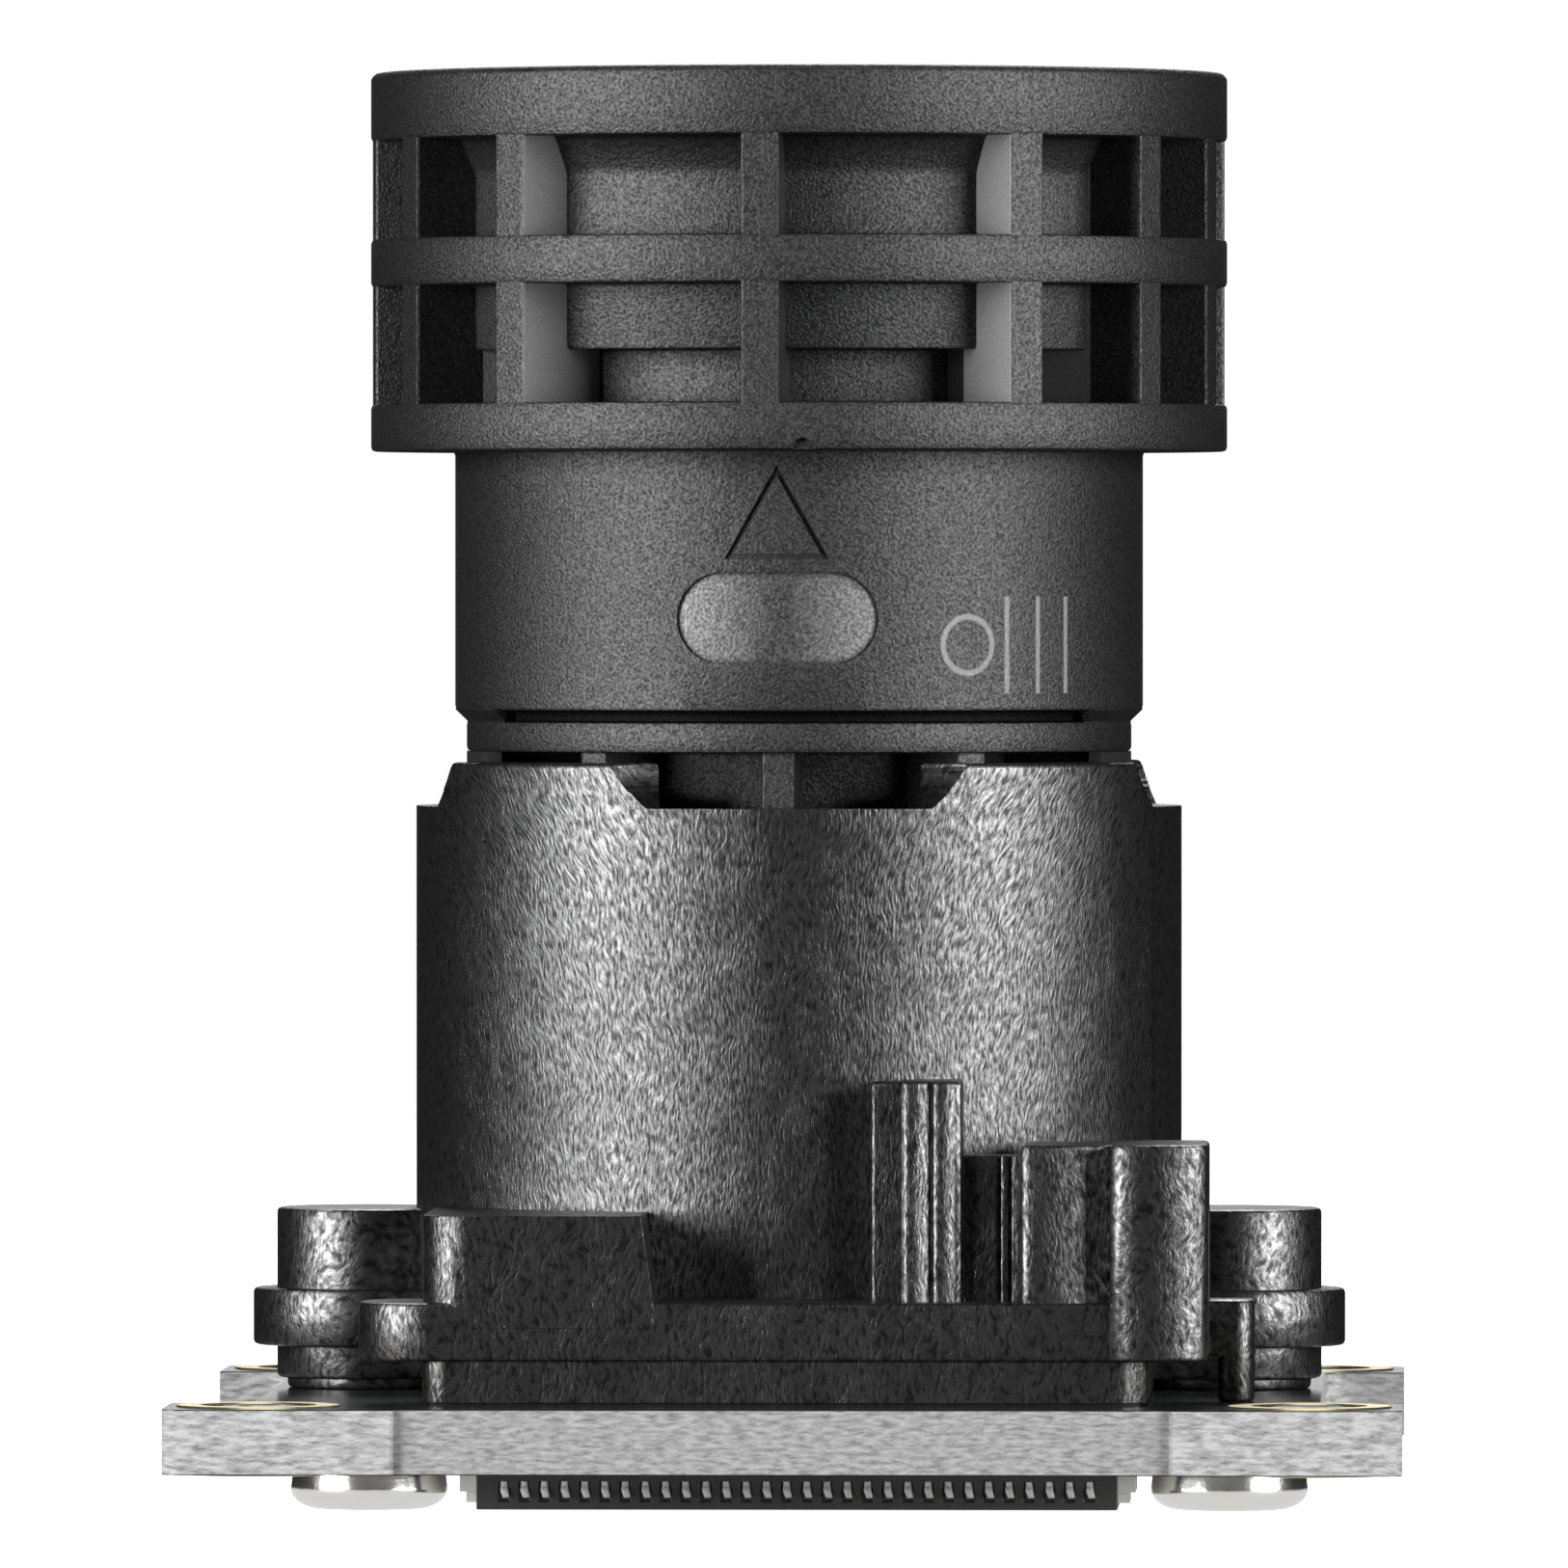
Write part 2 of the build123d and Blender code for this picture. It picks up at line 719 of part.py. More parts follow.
def crystal_oscillator():
    """Ceramic oscillator with a flat metal lid."""
    body = underside_part(0, oscillator_length, oscillator_width, oscillator_thickness)
    inset = 2 * oscillator_lid_inset
    lid = Pos(0, rear_row) * Rectangle(oscillator_length - inset, oscillator_width - inset)
    low = board_bottom - oscillator_thickness
    return body + prism(lid, low - oscillator_lid_thickness, low)


filter_glass = Rectangle(filter_width, filter_depth)
package_outline = Rectangle(package_width, package_depth)
die_outline = Rectangle(die_width, die_depth)
die_bottom = board_top + package_floor

pieces = {
    "circuit_board": circuit_board(),
    "connector_body": connector_body(),
    "connector_contacts": connector_contacts(),
    "connector_hold_downs": connector_hold_downs(),
    "memory_chip": underside_part(-1, memory_length, memory_width, memory_thickness),
    "crystal_oscillator": crystal_oscillator(),
    "voltage_regulator": underside_part(
        1, regulator_length, regulator_width, regulator_thickness
    ),
    "chip_capacitors": chip_row(chip_width, capacitor_row),
    "chip_resistors": chip_row(resistor_thickness, resistor_row),
    "sensor_package": sensor_package(),
    "sensor_die": prism(die_outline, die_bottom, die_bottom + die_thickness),
    "sensor_cover_glass": prism(
        package_outline, package_top, package_top + cover_glass_thickness
    ),
    "lens_holder": lens_holder(),
    "holder_adhesive": holder_adhesive(),
    "infrared_filter": prism(filter_glass, floor_top - filter_thickness, floor_top),
    "lens_barrel": lens_barrel(),
    "barrel_adhesive": barrel_adhesive(),
    "aperture_stop": aperture_stop(),
    "third_lens": lens_element(
        middle_lens_radius,
        stop_web_top,
        third_lens_edge,
        front=(third_lens_front_curve, third_lens_front_rim),
    ),
    "middle_spacer": spacer(
        middle_lens_radius, spacer_width, middle_spacer_bottom, middle_spacer_height
    ),
    "second_lens": lens_element(
        middle_lens_radius,
        second_lens_bottom,
        second_lens_edge,
        rear=(-second_lens_rear_curve, second_lens_rear_rim),
    ),
    "front_seal": front_seal(),
    "front_lens": lens_element(
        front_lens_radius,
        front_seat,
        front_lens_edge,
        front=(front_lens_front_curve, front_lens_front_rim),
        rear=(-front_lens_rear_curve, front_lens_rear_rim),
    ),
    "front_retaining_ring": front_retaining_ring(),
    "fourth_lens": lens_element(
        rear_lens_radius,
        fourth_lens_bottom,
        fourth_lens_edge,
        rear=(fourth_lens_rear_curve, fourth_lens_rear_rim),
    ),
    "rear_spacer": spacer(
        rear_lens_radius, rear_spacer_width, rear_spacer_bottom, rear_spacer_height
    ),
    "fifth_lens": lens_element(
        rear_lens_radius,
        fifth_lens_bottom,
        fifth_lens_edge,
        front=(fifth_lens_front_curve, fifth_lens_front_rim),
    ),
    "rear_retaining_ring": spacer(
        rear_lens_radius, rear_ring_width, rear_ring_bottom, rear_ring_height
    ),
    "left_holder_screw": holder_screw(-1),
    "right_holder_screw": holder_screw(1),
}

for name, piece in pieces.items():
    export_step(piece, f"parts/{name}.step")
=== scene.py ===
import math
from functools import partial

import bpy
from mathutils import Matrix, Vector


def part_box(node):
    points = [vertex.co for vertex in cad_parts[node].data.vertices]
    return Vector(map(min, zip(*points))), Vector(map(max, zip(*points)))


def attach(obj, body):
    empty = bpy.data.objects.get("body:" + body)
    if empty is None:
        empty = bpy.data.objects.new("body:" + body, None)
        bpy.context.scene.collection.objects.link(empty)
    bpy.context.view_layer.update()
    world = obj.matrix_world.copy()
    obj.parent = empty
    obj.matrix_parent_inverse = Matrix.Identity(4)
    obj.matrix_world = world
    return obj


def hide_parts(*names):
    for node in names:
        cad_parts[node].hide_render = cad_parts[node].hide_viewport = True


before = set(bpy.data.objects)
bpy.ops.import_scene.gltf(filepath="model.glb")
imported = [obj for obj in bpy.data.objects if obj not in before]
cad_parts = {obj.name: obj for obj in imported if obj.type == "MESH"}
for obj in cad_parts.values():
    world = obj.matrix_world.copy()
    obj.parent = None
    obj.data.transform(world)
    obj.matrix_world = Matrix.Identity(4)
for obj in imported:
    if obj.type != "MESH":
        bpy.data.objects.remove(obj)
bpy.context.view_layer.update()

MM = 0.001


# Camera: a long lens, level with the middle of the lens barrel and turned a little
# past the front, so that the module's marked side faces it almost square.
camera_distance = 430 * MM
camera_azimuth = math.radians(1.7)
camera_height = 18.4 * MM
camera_focal_mm = 497
camera_aim = Vector((-0.30 * MM, 0, 14.40 * MM))

camera_x = camera_distance * math.sin(camera_azimuth)
camera_y = camera_distance * -math.cos(camera_azimuth)
bpy.ops.object.camera_add(location=(camera_x, camera_y, camera_height))
camera = bpy.context.object
camera.data.lens = camera_focal_mm
camera.data.sensor_width = 36
camera.data.clip_start = 0.01
camera.data.clip_end = 20
camera.rotation_euler = (camera_aim - camera.location).to_track_quat("-Z", "Y").to_euler()
bpy.context.scene.camera = camera


# Studio: two soft boxes at the sides, level with the module, a weak one overhead and two
# behind it for the edges, on a plain pale floor before a white background.
def srgb(hex_code):
    channels = [int(hex_code[i:i + 2], 16) / 255 for i in (0, 2, 4)]
    linear = [c / 12.92 if c <= 0.04045 else ((c + 0.055) / 1.055) ** 2.4 for c in channels]
    return (*linear, 1.0)


def wire(node, inputs):
    for name, value in inputs.items():
        if isinstance(value, bpy.types.Node):
            value = value.outputs[0]
        if isinstance(value, bpy.types.NodeSocket):
            node.id_data.links.new(value, node.inputs[name])
        else:
            node.inputs[name].default_value = value


def add_node(tree, kind, inputs=None, stops=(), **settings):
    node = tree.nodes.new("ShaderNode" + kind)
    for name, value in settings.items():
        setattr(node, name, value)
    if stops:
        for element, (position, colour) in zip(node.color_ramp.elements, stops):
            element.position = position
            element.color = srgb(colour)
    wire(node, inputs or {})
    return node


def new_material(name):
    material = bpy.data.materials.new(name)
    material.use_nodes = True
    tree = material.node_tree
    return material, partial(add_node, tree), tree.nodes["Principled BSDF"]


def soft_box(name, azimuth, elevation, distance_mm, width_mm, height_mm, power):
    turn = math.radians(azimuth)
    rise = math.radians(elevation)
    aim = Vector((0, 0, 15 * MM))
    way = Vector((math.sin(turn) * math.cos(rise), -math.cos(turn) * math.cos(rise), math.sin(rise)))
    place = aim + distance_mm * MM * way
    bpy.ops.object.light_add(type="AREA", location=place)
    lamp = bpy.context.object
    lamp.name = name
    lamp.data.shape = "RECTANGLE"
    lamp.data.size = width_mm * MM
    lamp.data.size_y = height_mm * MM
    lamp.data.energy = power
    lamp.rotation_euler = (aim - place).to_track_quat("-Z", "Y").to_euler()


soft_box("left_soft_box", -54, 2, 200, 120, 120, 0.96)
soft_box("right_soft_box", 58, 2, 200, 120, 120, 0.82)
soft_box("overhead_soft_box", 10, 80, 220, 160, 160, 0.12)
soft_box("top_back_box", 180, 42, 220, 90, 60, 0.30)
soft_box("backdrop", 180, 3, 300, 80, 40, 0.011)

mirrored_level = 0.02
fill_level = 0.03
world = bpy.data.worlds.new("white_studio")
bpy.context.scene.world = world
world.use_nodes = True
add = partial(add_node, world.node_tree)
rays = add("LightPath")
seen = add(
    "Math", {0: rays.outputs["Is Camera Ray"], 1: rays.outputs["Is Transmission Ray"]}, operation="MAXIMUM"
)
gloss = add("Math", {0: rays.outputs["Is Glossy Ray"], 1: mirrored_level}, operation="MULTIPLY")
strength = add("Math", {0: seen, 1: gloss}, operation="MAXIMUM")
fill = add("Math", {0: rays.outputs["Is Diffuse Ray"], 1: fill_level}, operation="MULTIPLY")
ambient = add("Math", {0: strength, 1: fill}, operation="MAXIMUM")
wire(world.node_tree.nodes["Background"], {"Strength": ambient, "Color": (1, 1, 1, 1)})

# The floor glows for the camera, so that it looks white. Close to the module it glows
# in glossy faces too.
floor_size = 1.2
glow_near = 13 * MM
glow_far = 21 * MM
glow_seen = 1.02
glow_mirrored = 0.8
bpy.ops.mesh.primitive_plane_add(size=floor_size, location=(0, 0, 0))
floor = bpy.context.object
floor.name = "studio_floor"
floor_material, add, shader = new_material("pale studio floor")
floor_rays = add("LightPath")
floor_place = add("TexCoord")
floor_reach = add("VectorMath", {0: floor_place.outputs["Object"]}, operation="LENGTH")
near_glow = add(
    "MapRange",
    {"Value": floor_reach.outputs["Value"], "From Min": glow_near, "From Max": glow_far,
     "To Min": glow_mirrored, "To Max": 0.0},
)
mirrored = floor_rays.outputs["Is Glossy Ray"]
looked_at = floor_rays.outputs["Is Camera Ray"]
gloss_glow = add("Math", {0: mirrored, 1: near_glow}, operation="MULTIPLY")
glow = add("Math", {0: looked_at, 1: glow_seen, 2: gloss_glow}, operation="MULTIPLY_ADD")
mirrored_tone = add("Mix", {0: mirrored, 6: srgb("7A7A7A"), 7: srgb("1C1C1C")}, data_type="RGBA")
floor_tone = add("Mix", {0: looked_at, 6: mirrored_tone.outputs[2], 7: srgb("F2F2F2")}, data_type="RGBA")
wire(shader, {
    "Base Color": floor_tone.outputs[2], "Roughness": 0.9, "Specular IOR Level": 0.0,
    "Emission Color": (1, 1, 1, 1), "Emission Strength": glow,
})
floor.data.materials.append(floor_material)


# Circuit board: stiff glass-epoxy laminate, cut from a panel. Its edge shows pale, dull
# layers of glass cloth, while both faces carry a smooth dark solder mask.
def ready(piece, name, material, replaced=()):
    piece.name = name
    piece.data.name = name
    piece.data.materials.clear()
    piece.data.materials.append(material)
    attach(piece, "root")
    if replaced:
        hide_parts(*replaced)
    return piece


def give(node, material):
    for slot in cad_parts[node].material_slots:
        slot.material = material


def spaced(add, across_mm, up_mm=None):
    place = add("TexCoord")
    scale = [1 / (size * MM) for size in (across_mm, across_mm, up_mm or across_mm)]
    return add("Mapping", {"Vector": place.outputs["Object"], "Scale": scale})


board_low, board_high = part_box("circuit_board")
board_bottom = board_low[2]
board_top = board_high[2]
glass_layer_mm = 0.08
glass_streak_mm = 0.32
weave_mm = 0.9
mask_skin = 0.02 * MM
ear_inner = 7.56

laminate, add, shader = new_material("cut glass-epoxy laminate")
place = add("TexCoord")
height = add("SeparateXYZ", {0: place.outputs["Object"]})
layers = add(
    "TexNoise",
    {"Vector": spaced(add, glass_streak_mm, glass_layer_mm), "Scale": 1.0, "Detail": 5.0, "Roughness": 0.62},
)
edge_tone = add("ValToRGB", {0: layers}, stops=((0.30, "5A5A5A"), (0.62, "9C9C9C")))
from_middle = add("Math", {0: height.outputs["X"]}, operation="ABSOLUTE")
in_ear = add("Math", {0: from_middle, 1: ear_inner * MM}, operation="GREATER_THAN")
ear_shade = add("MapRange", {"Value": in_ear, "To Min": 1.0, "To Max": 1.28})
cut_tone = add("VectorMath", {0: edge_tone, "Scale": ear_shade}, operation="SCALE")
above = add("Math", {0: height.outputs["Z"], 1: board_top - mask_skin}, operation="GREATER_THAN")
below = add("Math", {0: height.outputs["Z"], 1: board_bottom + mask_skin}, operation="LESS_THAN")
masked = add("Math", {0: above, 1: below}, operation="MAXIMUM")
weave = add("TexNoise", {"Vector": spaced(add, weave_mm), "Scale": 1.0, "Detail": 3.0})
mask_tone = add("ValToRGB", {0: weave}, stops=((0, "1B1F1D"), (1, "2A2F2C")))
board_tone = add("Mix", {0: masked, 6: cut_tone, 7: mask_tone}, data_type="RGBA")
board_rough = add("MapRange", {"Value": masked, "To Min": 0.75, "To Max": 0.18})
board_bump = add("Bump", {"Height": layers, "Strength": 0.4, "Distance": 0.03 * MM})
wire(shader, {"Base Color": board_tone.outputs[2], "Roughness": board_rough, "Normal": board_bump})
give("circuit_board", laminate)


# Plated rings round the corner holes: electroless nickel and gold over copper,
# a little proud of the mask on both faces, where the host's screws clamp.
def grained(name, grain_mm, detail, colours, roughness, metallic=0.0, relief=None, drawn_mm=None):
    material, add, shader = new_material(name)
    place = spaced(add, grain_mm, drawn_mm)
    grain = add("TexNoise", {"Vector": place, "Scale": 1.0, "Detail": detail})
    looks = {"Base Color": srgb(colours[0]), "Metallic": metallic, "Roughness": roughness}
    if len(colours) == 2:
        looks["Base Color"] = add("ValToRGB", {0: grain}, stops=enumerate(colours))
    if isinstance(roughness, tuple):
        least, most = roughness
        looks["Roughness"] = add("MapRange", {"Value": grain, "To Min": least, "To Max": most})
    if relief:
        strength, depth_mm = relief
        looks["Normal"] = add("Bump", {"Height": grain, "Strength": strength, "Distance": depth_mm * MM})
    wire(shader, looks)
    return material


def start_piece():
    bpy.ops.object.select_all(action="DESELECT")


def outline_of(points):
    start_piece()
    bpy.ops.mesh.primitive_plane_add(size=MM)
    piece = bpy.context.object
    bpy.ops.object.mode_set(mode="EDIT")
    bpy.ops.mesh.merge(type="CENTER")
    corners = [Vector(point) * MM for point in points]
    bpy.ops.transform.translate(value=corners[0])
    for last, corner in zip(corners, corners[1:]):
        bpy.ops.mesh.extrude_region_move(TRANSFORM_OT_translate={"value": corner - last})
    bpy.ops.mesh.select_all(action="SELECT")
    return piece


def turned(outline, steps):
    piece = outline_of([(radius, 0, height) for radius, height in outline])
    bpy.ops.mesh.spin(steps=steps, angle=2 * math.pi, center=(0, 0, 0), axis=(0, 0, 1))
    bpy.ops.mesh.select_all(action="SELECT")
    bpy.ops.mesh.remove_doubles(threshold=0.002 * MM)
    bpy.ops.mesh.normals_make_consistent(inside=False)
    bpy.ops.object.mode_set(mode="OBJECT")
    return piece


def closed_turned(outline, steps):
    return turned([*outline, outline[0]], steps)


def pick(piece):
    start_piece()
    piece.select_set(True)
    bpy.context.view_layer.objects.active = piece


def smooth(piece, degrees=32):
    pick(piece)
    bpy.ops.object.shade_smooth_by_angle(angle=math.radians(degrees))


def copy_at(piece, matrix):
    twin = piece.copy()
    twin.data = piece.data.copy()
    twin.data.transform(matrix)
    bpy.context.collection.objects.link(twin)
    return twin


def join(pieces):
    start_piece()
    for piece in pieces:
        piece.select_set(True)
    bpy.context.view_layer.objects.active = pieces[0]
    bpy.ops.object.join()
    return bpy.context.object


board_top_mm = board_top / MM
board_bottom_mm = board_bottom / MM
hole_spacing = 20.4
ring_inner = 1.1
ring_outer = 1.6
ring_height = 0.035
ring_bevel = 0.03
hole_places = [
    Matrix.Translation((x * hole_spacing / 2 * MM, y * hole_spacing / 2 * MM, 0))
    for x in (-1, 1) for y in (-1, 1)
]

# Nickel and gold from a bath: warm and metallic, a little uneven in its shine.
gold = grained("nickel-gold plating", 0.12, 3.0, ["D9CFA8"], (0.22, 0.42), metallic=1.0)

rings = []
for base, rise in ((board_top_mm, ring_height), (board_bottom_mm, -ring_height)):
    section = [
        (ring_inner, base), (ring_outer, base), (ring_outer - ring_bevel, base + rise),
        (ring_inner + ring_bevel, base + rise),
    ]
    ring = closed_turned(section, 48)
    rings += [copy_at(ring, place) for place in hole_places]
    bpy.data.objects.remove(ring)
corner_rings = join(rings)
smooth(corner_rings)
ready(corner_rings, "corner_hole_rings", gold)


# Receptacle of the board-to-board connector: black liquid-crystal polymer, moulded with
# a slot for each contact along both sides and a ring-shaped socket round its tongue.
def place_in_mesh():
    bpy.ops.object.transform_apply(location=True, rotation=True, scale=True)
    return bpy.context.object


def modified(piece, name, kind, **settings):
    pick(piece)
    modifier = piece.modifiers.new(name, kind)
    for setting, value in settings.items():
        setattr(modifier, setting, value)
    bpy.ops.object.modifier_apply(modifier=modifier.name)
    return piece


def soften(piece, width, segments=2, degrees=40):
    return modified(
        piece, "soft edges", "BEVEL", width=width * MM, segments=segments, limit_method="ANGLE",
        angle_limit=math.radians(degrees),
    )


def block(left, right, front, back, bottom, top):
    start_piece()
    bpy.ops.mesh.primitive_cube_add(
        size=1,
        location=((left + right) / 2 * MM, (front + back) / 2 * MM, (bottom + top) / 2 * MM),
        scale=((right - left) * MM, (back - front) * MM, (top - bottom) * MM),
    )
    return place_in_mesh()


def combine(piece, tool, operation):
    modified(piece, "combine", "BOOLEAN", operation=operation, solver="EXACT", object=tool)
    bpy.data.objects.remove(tool)
    return piece


contact_count = 30
contact_pitch = 0.4
connector_low, connector_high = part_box("connector_body")
connector_half = connector_high[0] / MM
connector_side = connector_high[1] / MM
connector_bottom = connector_low[2] / MM
slot_width = 0.22
slot_depth = 0.1
slot_bottom = 0.2
slot_top = 0.6
socket_wall = 0.45
socket_depth = 0.75
tongue_half = 0.45
tongue_margin = 0.35

connector = block(
    -connector_half, connector_half, -connector_side, connector_side, connector_bottom, board_bottom_mm
)
socket = block(
    socket_wall - connector_half, connector_half - socket_wall, socket_wall - connector_side,
    connector_side - socket_wall, connector_bottom - 1, connector_bottom + socket_depth,
)
tongue_end = connector_half - socket_wall - tongue_margin
tongue = block(
    -tongue_end, tongue_end, -tongue_half, tongue_half, connector_bottom - 2,
    connector_bottom + socket_depth + 1,
)
combine(socket, tongue, "DIFFERENCE")
combine(connector, socket, "DIFFERENCE")
slots = []
for index in range(contact_count):
    middle = (index - (contact_count - 1) / 2) * contact_pitch
    for side in (-1, 1):
        wall = side * connector_side
        slots.append(block(
            middle - slot_width / 2, middle + slot_width / 2, wall - slot_depth, wall + slot_depth,
            slot_bottom, slot_top,
        ))
combine(connector, join(slots), "DIFFERENCE")
soften(connector, 0.02, 1)
smooth(connector)

# Liquid-crystal polymer from a fine mould: near black, half matt and slightly mottled.
polymer = grained(
    "moulded liquid-crystal polymer", 0.07, 4.0, ["242424", "3E3E3E"], 0.5, relief=(0.3, 0.01)
)
ready(connector, "connector_shell", polymer, ["connector_body"])


# Contacts of the connector: stamped phosphor bronze, plated pale, pressed into the slots.
# Each shoulder shows at the foot of its slot, then the strip runs up to its soldered foot.
def extruded(corners, pull):
    piece = outline_of(corners)
    bpy.ops.mesh.edge_face_add()
    bpy.ops.mesh.select_all(action="SELECT")
    bpy.ops.mesh.extrude_region_move(TRANSFORM_OT_translate={"value": Vector(pull) * MM})
    bpy.ops.mesh.select_all(action="SELECT")
    bpy.ops.mesh.normals_make_consistent(inside=False)
    bpy.ops.object.mode_set(mode="OBJECT")
    return piece


contact_width = 0.14
contact_reach = 2.15
shoulder_proud = 0.12
shoulder_top = 0.47
shoulder_bottom = 0.28
shoulder_lean = 0.04
shoulder_bend = 0.03
shoulder_slope = 0.04
strip = 0.12
strip_gap = 0.06
foot_bend = 0.05
foot_gap = 0.02
lean_below = 0.4
slot_floor = connector_side - slot_depth
shoulder = connector_side + shoulder_proud
foot_bottom = board_bottom_mm - strip

contact_side = [
    (slot_floor, shoulder_bottom), (shoulder - shoulder_bend, shoulder_bottom),
    (shoulder, shoulder_bottom + shoulder_bend), (shoulder, shoulder_top - shoulder_slope),
    (shoulder - shoulder_bend, shoulder_top), (slot_floor + strip_gap, shoulder_top + shoulder_slope),
    (slot_floor + strip_gap, foot_bottom - foot_bend), (connector_side + foot_gap, foot_bottom),
    (contact_reach, foot_bottom), (contact_reach, board_bottom_mm), (slot_floor, board_bottom_mm),
]
contact = extruded([(-contact_width / 2, out, up) for out, up in contact_side], (contact_width, 0, 0))
soften(contact, 0.045, 2)
for vertex in contact.data.vertices:
    if vertex.co.z < lean_below * MM:
        vertex.co.x -= shoulder_lean * MM
contacts = []
for index in range(contact_count):
    middle = (index - (contact_count - 1) / 2) * contact_pitch
    for turn in (0, math.pi):
        shift = Matrix.Translation((middle * MM, 0, 0))
        contacts.append(copy_at(contact, shift @ Matrix.Rotation(turn, 4, "Z")))
bpy.data.objects.remove(contact)
contacts = join(contacts)
smooth(contacts, 60)

# Matt tin, drawn along the strip: it scatters light, so it looks pale more than metallic.
plating = grained(
    "tin plating on stamped bronze", 0.05, 3.0, ["F4F2EC"], (0.45, 0.6), metallic=0.1, drawn_mm=0.16
)
ready(contacts, "connector_contact_rows", plating, ["connector_contacts"])


# Hold-downs: folded metal tabs at both ends of the receptacle, soldered to the board.
tab_low, tab_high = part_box("connector_hold_downs")
tab_end = tab_high[0] / MM
tab_half = tab_high[1] / MM
tab_bottom = tab_low[2] / MM
tab_step = 0.22
tab_fold = 0.12
tab_shoulder = 0.25

tabs = []
for side in (-1, 1):
    near = side * connector_half
    far = side * tab_end
    fold = far - side * tab_fold
    left, right = sorted((near, far))
    upper = block(left, right, -tab_half, tab_half, tab_bottom + tab_step, board_bottom_mm)
    left, right = sorted((near, fold))
    lower = block(
        left, right, -tab_half + tab_shoulder, tab_half - tab_shoulder, tab_bottom, board_bottom_mm - tab_step
    )
    combine(upper, lower, "UNION")
    tabs.append(soften(upper, 0.05, 2))
hold_downs = join(tabs)
smooth(hold_downs)
ready(hold_downs, "connector_hold_down_tabs", plating, ["connector_hold_downs"])


# Packages on the underside, behind the connector: a memory chip and a voltage regulator
# in moulded epoxy with leads under their edges, and an oscillator in ceramic with a lid.
def rod(x, y, radius, bottom, top, steps=48):
    start_piece()
    bpy.ops.mesh.primitive_cylinder_add(
        vertices=steps, radius=radius * MM, depth=(top - bottom) * MM,
        location=(x * MM, y * MM, (bottom + top) / 2 * MM),
    )
    return place_in_mesh()


def box_mm(node):
    low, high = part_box(node)
    return [value / MM for value in (low[0], high[0], low[1], high[1], low[2], high[2])]


lead_length = 0.22
lead_width = 0.26
lead_proud = 0.03
lead_height = 0.2
solder_gap = 0.002
dot_inset = 0.45
dot_radius = 0.18
dot_depth = 0.04

# Epoxy filled with silica: black with a grey cast and a fine matt grain.
epoxy = grained("moulded epoxy package", 0.05, 4.0, ["1C1C1E", "36363A"], 0.62, relief=(0.4, 0.008))

leads = []
for node, lead_count in (("memory_chip", 4), ("voltage_regulator", 3)):
    left, right, front, back, bottom, top = box_mm(node)
    package = soften(block(left, right, front, back, bottom, top), 0.05, 2)
    dot = rod(left + dot_inset, front + dot_inset, dot_radius, bottom - dot_depth, bottom + dot_depth, 24)
    combine(package, dot, "DIFFERENCE")
    smooth(package)
    ready(package, node + "_package", epoxy, [node])
    pitch = (right - left) / lead_count
    half = lead_width / 2
    for index in range(lead_count):
        middle = left + (index + 0.5) * pitch
        for edge, way in ((front, -1), (back, 1)):
            low, high = sorted((edge - way * lead_length, edge + way * lead_proud))
            leads.append(block(middle - half, middle + half, low, high, top - lead_height, top - solder_gap))
leads = soften(join(leads), 0.015, 1)
smooth(leads)
ready(leads, "package_leads", plating)

left, right, front, back, bottom, top = box_mm("crystal_oscillator")
lid_inset = 0.2
lid_thickness = 0.1
lid_sink = 0.02
can = soften(block(left, right, front, back, bottom + lid_thickness, top), 0.06, 2)
smooth(can)
lid = block(
    left + lid_inset, right - lid_inset, front + lid_inset, back - lid_inset, bottom,
    bottom + lid_thickness + lid_sink,
)
soften(lid, 0.03, 2)
smooth(lid)

# Alumina as fired: a dull, warm pale grey.
ceramic = grained("fired ceramic", 0.06, 4.0, ["8F8A80", "ACA79C"], 0.7)
ready(can, "oscillator_ceramic", ceramic, ["crystal_oscillator"])
ready(lid, "oscillator_lid", gold)


# Chips inside the holder's foot: capacitors in barium titanate and resistors in alumina,
# both fired. Their bodies are dull and dark, their tinned caps metallic and pale.
chip_pitch = 3.2
chip_bare_half = 0.25
chip_grain_mm = 0.04


def capped_chip(name, body_low, body_high):
    material, add, shader = new_material(name)
    place = add("TexCoord")
    axes = add("SeparateXYZ", {0: place.outputs["Object"]})
    from_middle = add("Math", {0: axes.outputs["X"], 1: chip_pitch / 2 * MM}, operation="PINGPONG")
    cap = add("Math", {0: from_middle, 1: chip_bare_half * MM}, operation="GREATER_THAN")
    grain = add("TexNoise", {"Vector": spaced(add, chip_grain_mm), "Scale": 1.0, "Detail": 3.0})
    body = add("ValToRGB", {0: grain}, stops=((0, body_low), (1, body_high)))
    tone = add("Mix", {0: cap, 6: body, 7: srgb("D8D6D0")}, data_type="RGBA")
    wire(shader, {"Base Color": tone.outputs[2], "Metallic": cap, "Roughness": 0.45})
    return material


give("chip_capacitors", capped_chip("barium titanate with tinned caps", "6B5B45", "8A785C"))
give("chip_resistors", capped_chip("alumina with tinned caps", "1B1B1D", "2E2E31"))


# Image sensor: a silicon die bonded into a ceramic carrier, which is soldered to the
# middle of the board. A raised dam round the die carries the cover glass.

# Black alumina: dull and very dark, so that it throws no stray light on the die.
give("sensor_package", grained("black alumina carrier", 0.08, 4.0, ["17171A", "2B2B2F"], 0.6))

